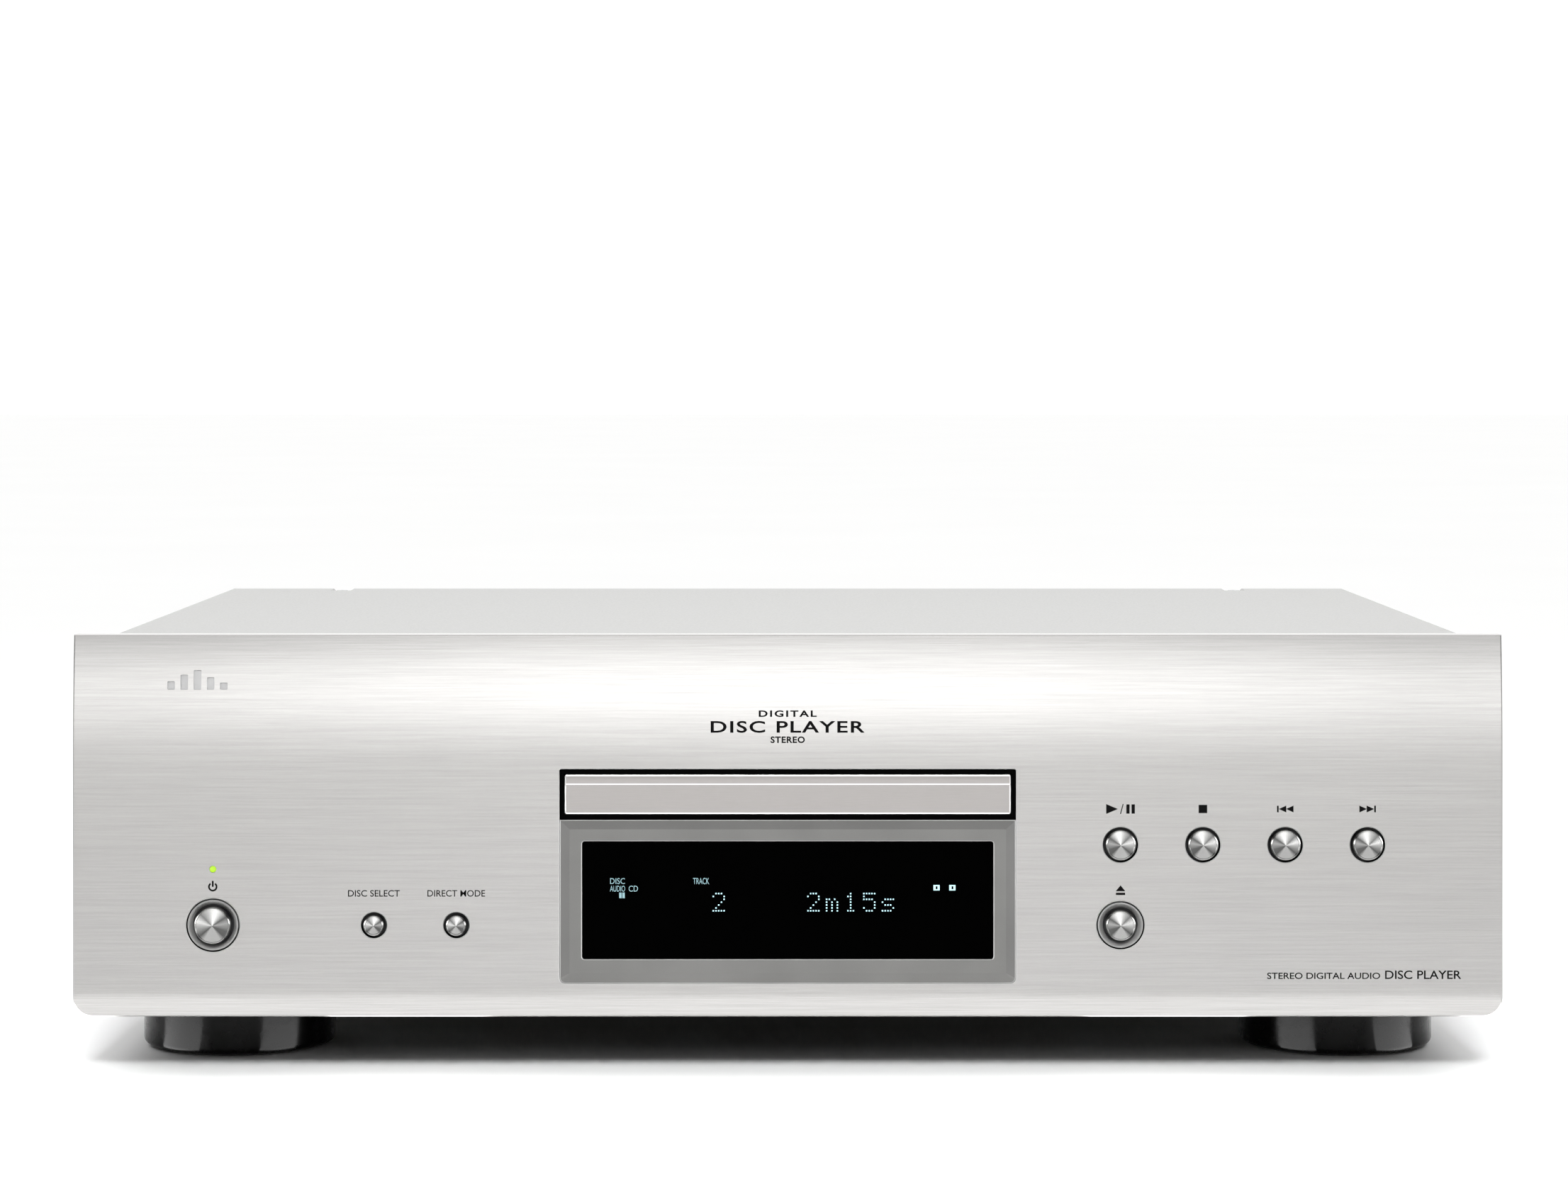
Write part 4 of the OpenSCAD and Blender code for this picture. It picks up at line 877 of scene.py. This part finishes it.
def make_symbols():
    """The printed symbols over the buttons."""
    row = 82.3
    h = 1.5
    x = BUTTON_AT["play"][0]
    arrow = [(x - 4.35, row - h), (x - 0.8, row), (x - 4.35, row + h)]
    slash = [(x - 0.15, row - h), (x + 0.13, row - h), (x + 0.93, row + h), (x + 0.65, row + h)]
    pause = [box_shape(x + left, x + left + 1.0, row - h + 0.1, row + h - 0.1) for left in (1.75, 3.35)]
    add_print("mark_play", [arrow, slash, *pause])
    x = BUTTON_AT["stop"][0]
    add_print("mark_stop", [box_shape(x - 1.3, x + 1.3, row - 1.25, row + 1.25)])
    for name, way in (("previous", -1), ("next", 1)):
        x = BUTTON_AT[name][0]
        shapes = []
        for k in (-1, 1):
            tip = x + way * (1.95 + k * 1.1 - 1.1)
            base = tip - way * 2.25
            triangle = [(base, row - 1.05), (tip, row), (base, row + 1.05)]
            shapes.append(triangle if way > 0 else triangle[::-1])
        bar = sorted((x + way * 2.0, x + way * 2.5))
        shapes.append(box_shape(bar[0], bar[1], row - 1.0, row + 1.0))
        add_print("mark_" + name, shapes)
    x = BUTTON_AT["eject"][0]
    z = 57.55
    add_print("mark_eject", [[(x - 1.45, z - 0.2), (x + 1.45, z - 0.2), (x, z + 1.6)],
                             box_shape(x - 1.4, x + 1.4, z - 1.35, z - 0.65)])
    x = BUTTON_AT["power"][0]
    z = 58.8
    add_print("mark_power", [arc_band(x, z - 0.1, 0.9, 1.42, 125, 415),
                             box_shape(x - 0.26, x + 0.26, z - 0.1, z + 1.7)])


def make_words():
    """The printed words, all generic."""
    low_row = 56.7
    add_words("label_disc_select", "DISC SELECT", BUTTON_AT["layer"][0], low_row, 2.0, 15.7, weight=0.006)
    add_words("label_direct_mode", "DIRECT MODE", BUTTON_AT["direct"][0], low_row, 2.0, 17.5, weight=0.006)
    add_words("label_digital", "DIGITAL", 0, 111.2, 2.0, 17.6, track=1.25, weight=0.03)
    add_words("label_disc_player", "DISC PLAYER", 0, 107.2, 3.6, 46.8, track=1.12, weight=0.018)
    add_words("label_stereo", "STEREO", 0, 103.3, 2.0, 10.4, track=1.1, weight=0.03)
    add_words("label_stereo_digital", "STEREO DIGITAL AUDIO", 179.8, 31.68, 1.95, 34.3, align="RIGHT",
              weight=0.012)
    add_words("label_player", "DISC PLAYER", 204.4, 32.0, 2.6, 23.1, align="RIGHT", weight=0.01)


# ---------- display characters ----------

GLYPHS = {"2": ("01110", "10001", "00001", "00010", "00100", "01000", "11111"),
          "m": ("00000", "00000", "11010", "10101", "10101", "10101", "10101"),
          "1": ("00100", "01100", "00100", "00100", "00100", "00100", "01110"),
          "5": ("11111", "10000", "11110", "00001", "00001", "10001", "01110"),
          "s": ("00000", "00000", "01111", "10000", "01110", "00001", "11110")}
CHAR_PITCH, DOT_PITCH_X, DOT_PITCH_Z, DOT = 5.66, 0.82, 0.87, 0.43


def dots(text, x, z):
    """Dot-matrix characters from x to the right, with z as their top row."""
    shapes = []
    for n, char in enumerate(text):
        for row, line in enumerate(GLYPHS.get(char, ())):
            for col, lit in enumerate(line):
                if lit == "1":
                    cx = x + n * CHAR_PITCH + col * DOT_PITCH_X
                    cz = z - row * DOT_PITCH_Z
                    shapes.append(box_shape(cx - DOT / 2, cx + DOT / 2, cz - DOT / 2, cz + DOT / 2))
    return shapes


def make_readout():
    """The lit characters on the display window."""
    y = node_box("display_window")[0].y
    glass = {"material": PHOSPHOR, "slot": "display_glass", "y": y}
    dim = {**glass, "material": PHOSPHOR_DIM}
    lift = 0.02
    add_print("readout_track", dots("2", -22.6, 56.5), lift=lift, **glass)
    add_print("readout_time", dots("2m15s", 6.15, 56.5), lift=lift, **glass)
    add_words("readout_word_track", "TRACK", -26.3, 60.3, 1.9, 4.9, **dim)
    add_words("readout_word_disc", "DISC", -51.7, 60.3, 1.8, 4.5, **dim)
    add_words("readout_word_audio", "AUDIO", -51.7, 58.0, 1.8, 4.6, **dim)
    add_words("readout_word_cd", "CD", -46.9, 58.0, 1.8, 2.8, **dim)
    bars = [box_shape(left, left + 0.75, 55.1, 56.8) for left in (-51.2, -50.25)]
    add_print("readout_bars", bars, lift=lift, **dim)
    lamps = []
    for x in (45.2, 50.0):
        left, right = x - 0.25, x + 0.3       # sides of the small dark opening in each lamp
        lamps += [box_shape(x - 0.95, left, 57.45, 59.1), box_shape(right, x + 0.95, 57.45, 59.1),
                  box_shape(left, right, 57.45, 57.8), box_shape(left, right, 58.75, 59.1)]
    add_print("readout_channels", lamps, lift=lift, **glass)


# ---------- studio ----------

def make_camera():
    """Level with the floor, a little above the player, with the horizon raised by lens shift."""
    data = bpy.data.cameras.new("camera")
    data.lens = 93.2
    data.sensor_width = 36.0
    data.shift_x = -0.00238
    data.shift_y = -0.137
    data.clip_start, data.clip_end = 0.05, 60.0
    camera = bpy.data.objects.new("camera", data)
    camera.location = Vector((0.0, FACE_Y - 1232.0, 214.4)) * MM
    camera.rotation_euler = (math.radians(90), 0, 0)
    bpy.context.scene.collection.objects.link(camera)
    bpy.context.scene.camera = camera


def add_light(name, place, target, size, radiance, spread=180, diffuse=True, gloss=True):
    """A soft box of that brightness, in metres, aimed at a target."""
    data = bpy.data.lights.new(name, "AREA")
    data.shape = "RECTANGLE"
    data.size, data.size_y = size
    data.energy = radiance * math.pi * size[0] * size[1]
    data.spread = math.radians(spread)
    light = bpy.data.objects.new(name, data)
    light.location = place
    light.rotation_euler = (Vector(target) - Vector(place)).to_track_quat("-Z", "Y").to_euler()
    light.visible_diffuse = diffuse
    light.visible_glossy = gloss
    light.visible_camera = False
    bpy.context.scene.collection.objects.link(light)
    return light


# brightness of the studio
SKY_LIGHT = 1.45       # ceiling, and the wall behind the player
WALL_LIGHT = 0.06      # the other walls
KEY_LIGHT = 2.4        # soft box above the camera, for the floor and the painted parts
POOL_LIGHT = 2.6       # soft box over the floor in front, which the panel mirrors
SIDE_LIGHT = 14.0      # soft boxes left and right, seen only in reflections
EDGE_CARD, FOOT_CARD = 2.0, 7.0      # reflector cards on the floor

# a tall strip light in front of the player, brightest at the bottom: height, brightness
STRIP_Y = -4.2
STRIP_STEPS = [(0.10, 3.65), (0.55, 2.55), (0.85, 1.1), (1.2, 0.0)]
STRIP_SHARES = [(4.0, 0.75), (1.5, 0.09), (1.1, 0.08), (0.7, 0.08)]     # width, and its share of the light


def make_sky():
    """White above and behind the player, grey low down on the other sides."""
    world = bpy.data.worlds.new("studio")
    bpy.context.scene.world = world
    world.use_nodes = True
    tree = world.node_tree

    def ease(source, low, high):
        node = tree.nodes.new("ShaderNodeMapRange")
        node.interpolation_type = "SMOOTHSTEP"
        node.inputs["From Min"].default_value = low
        node.inputs["From Max"].default_value = high
        tree.links.new(source, node.inputs["Value"])
        return node.outputs[0]

    direction = tree.nodes.new("ShaderNodeTexCoord").outputs["Generated"]
    axes = tree.nodes.new("ShaderNodeSeparateXYZ")
    tree.links.new(direction, axes.inputs[0])
    white = tree.nodes.new("ShaderNodeMath")
    white.operation = "MAXIMUM"
    tree.links.new(ease(axes.outputs["Y"], 0.2, 0.5), white.inputs[0])
    tree.links.new(ease(axes.outputs["Z"], 0.55, 0.75), white.inputs[1])
    strength = tree.nodes.new("ShaderNodeMix")
    strength.inputs[2].default_value = WALL_LIGHT
    strength.inputs[3].default_value = SKY_LIGHT
    tree.links.new(white.outputs[0], strength.inputs[0])
    background = tree.nodes["Background"]
    background.inputs["Color"].default_value = (1.0, 1.0, 0.995, 1)
    tree.links.new(strength.outputs[0], background.inputs["Strength"])


def add_card(name, corners, brightness):
    """A glowing card just above the floor, seen only in reflections. Corners are anticlockwise."""
    mesh = bpy.data.meshes.new(name)
    mesh.from_pydata([(x * MM, y * MM, 0.8 * MM) for x, y in corners], [], [tuple(range(len(corners)))])
    card = bpy.data.objects.new(name, mesh)
    bpy.context.scene.collection.objects.link(card)
    s = Surface(name, (0.0, 0.0, 0.0), 1.0)
    s.set(s.shader, {"Emission Color": (1, 1, 1, 1), "Emission Strength": brightness})
    mesh.materials.append(s.material)
    for kind in ("camera", "diffuse", "shadow", "transmission"):
        setattr(card, "visible_" + kind, False)


def make_cards():
    """One card lights the panel's lower edge. A fan on each side of both front feet lights its walls."""
    add_card("edge_card", box_shape(-HALF_W - 20, HALF_W + 20, FACE_Y - 80, FACE_Y - 20), EDGE_CARD)
    for foot in ("foot_front_left", "foot_front_right"):
        low, high = node_box(foot)
        x, y, r = (low.x + high.x) / 2, (low.y + high.y) / 2, (high.x - low.x) / 2
        outer = -1 if x < 0 else 1
        for side in (-1, 1):
            first, last = 18.5, (47 if side == outer else 42)      # degrees round the foot
            near, far = [], []
            for edge in (first, last):
                a = math.radians(edge)
                start = Vector((x + side * r * math.sin(a), y - r * math.cos(a)))
                way = Vector((side * math.sin(2 * a), -math.cos(2 * a)))
                reach = min(100.0, (start.y - FACE_Y + 14) / max(-way.y, 0.01))
                near.append(tuple(start + way * 1.0))
                far.append(tuple(start + way * reach))
            corners = [near[0], far[0], far[1], near[1]]
            add_card("foot_card", corners if side > 0 else corners[::-1], FOOT_CARD)


def make_floor():
    """A plain white floor."""
    mesh = bpy.data.meshes.new("floor")
    mesh.from_pydata([(-20, -20, 0), (20, -20, 0), (20, 20, 0), (-20, 20, 0)], [], [(0, 1, 2, 3)])
    floor = bpy.data.objects.new("floor", mesh)
    bpy.context.scene.collection.objects.link(floor)
    s = Surface("floor_white", (0.92, 0.92, 0.92), 0.8, IOR=1.0)
    s.tint(s.noise((0.002, 0.002, 0.002)), (0.915, 0.915, 0.915), (0.925, 0.925, 0.925))
    mesh.materials.append(s.material)


def make_studio():
    """Sky, floor, reflector cards and soft boxes."""
    make_sky()
    make_floor()
    make_cards()
    add_light("key", (0, -2.34, 1.42), (0, 0.05, 0), (0.6, 0.5), KEY_LIGHT, spread=26, gloss=False)
    add_light("floor_pool", (0, -3.3, 1.3), (0, -3.3, 0), (2.6, 2.6), POOL_LIGHT, gloss=False)
    for (low, light), (high, _) in zip(STRIP_STEPS, STRIP_STEPS[1:]):
        for k, (width, share) in enumerate(STRIP_SHARES):
            middle = (0, STRIP_Y + 0.1 * k, (low + high) / 2)
            add_light("strip", middle, (0, 0, middle[2]), (width, high - low), light * share, diffuse=False)
    for side in (-1, 1):
        add_light("side_box", (side * 1.9, -1.1, 0.42), (side * 0.17, -0.1, 0.05), (2.2, 0.75), SIDE_LIGHT,
                  diffuse=False)
    view = bpy.context.scene.view_settings
    view.view_transform = "Standard"
    view.look = "None"


make_camera()
dress_cad_nodes()
make_front_panel()
make_tray_door()
make_tray_surround()
make_display()
make_buttons()
make_rings()
make_lamp()
make_feet()
make_symbols()
make_words()
make_readout()
make_studio()
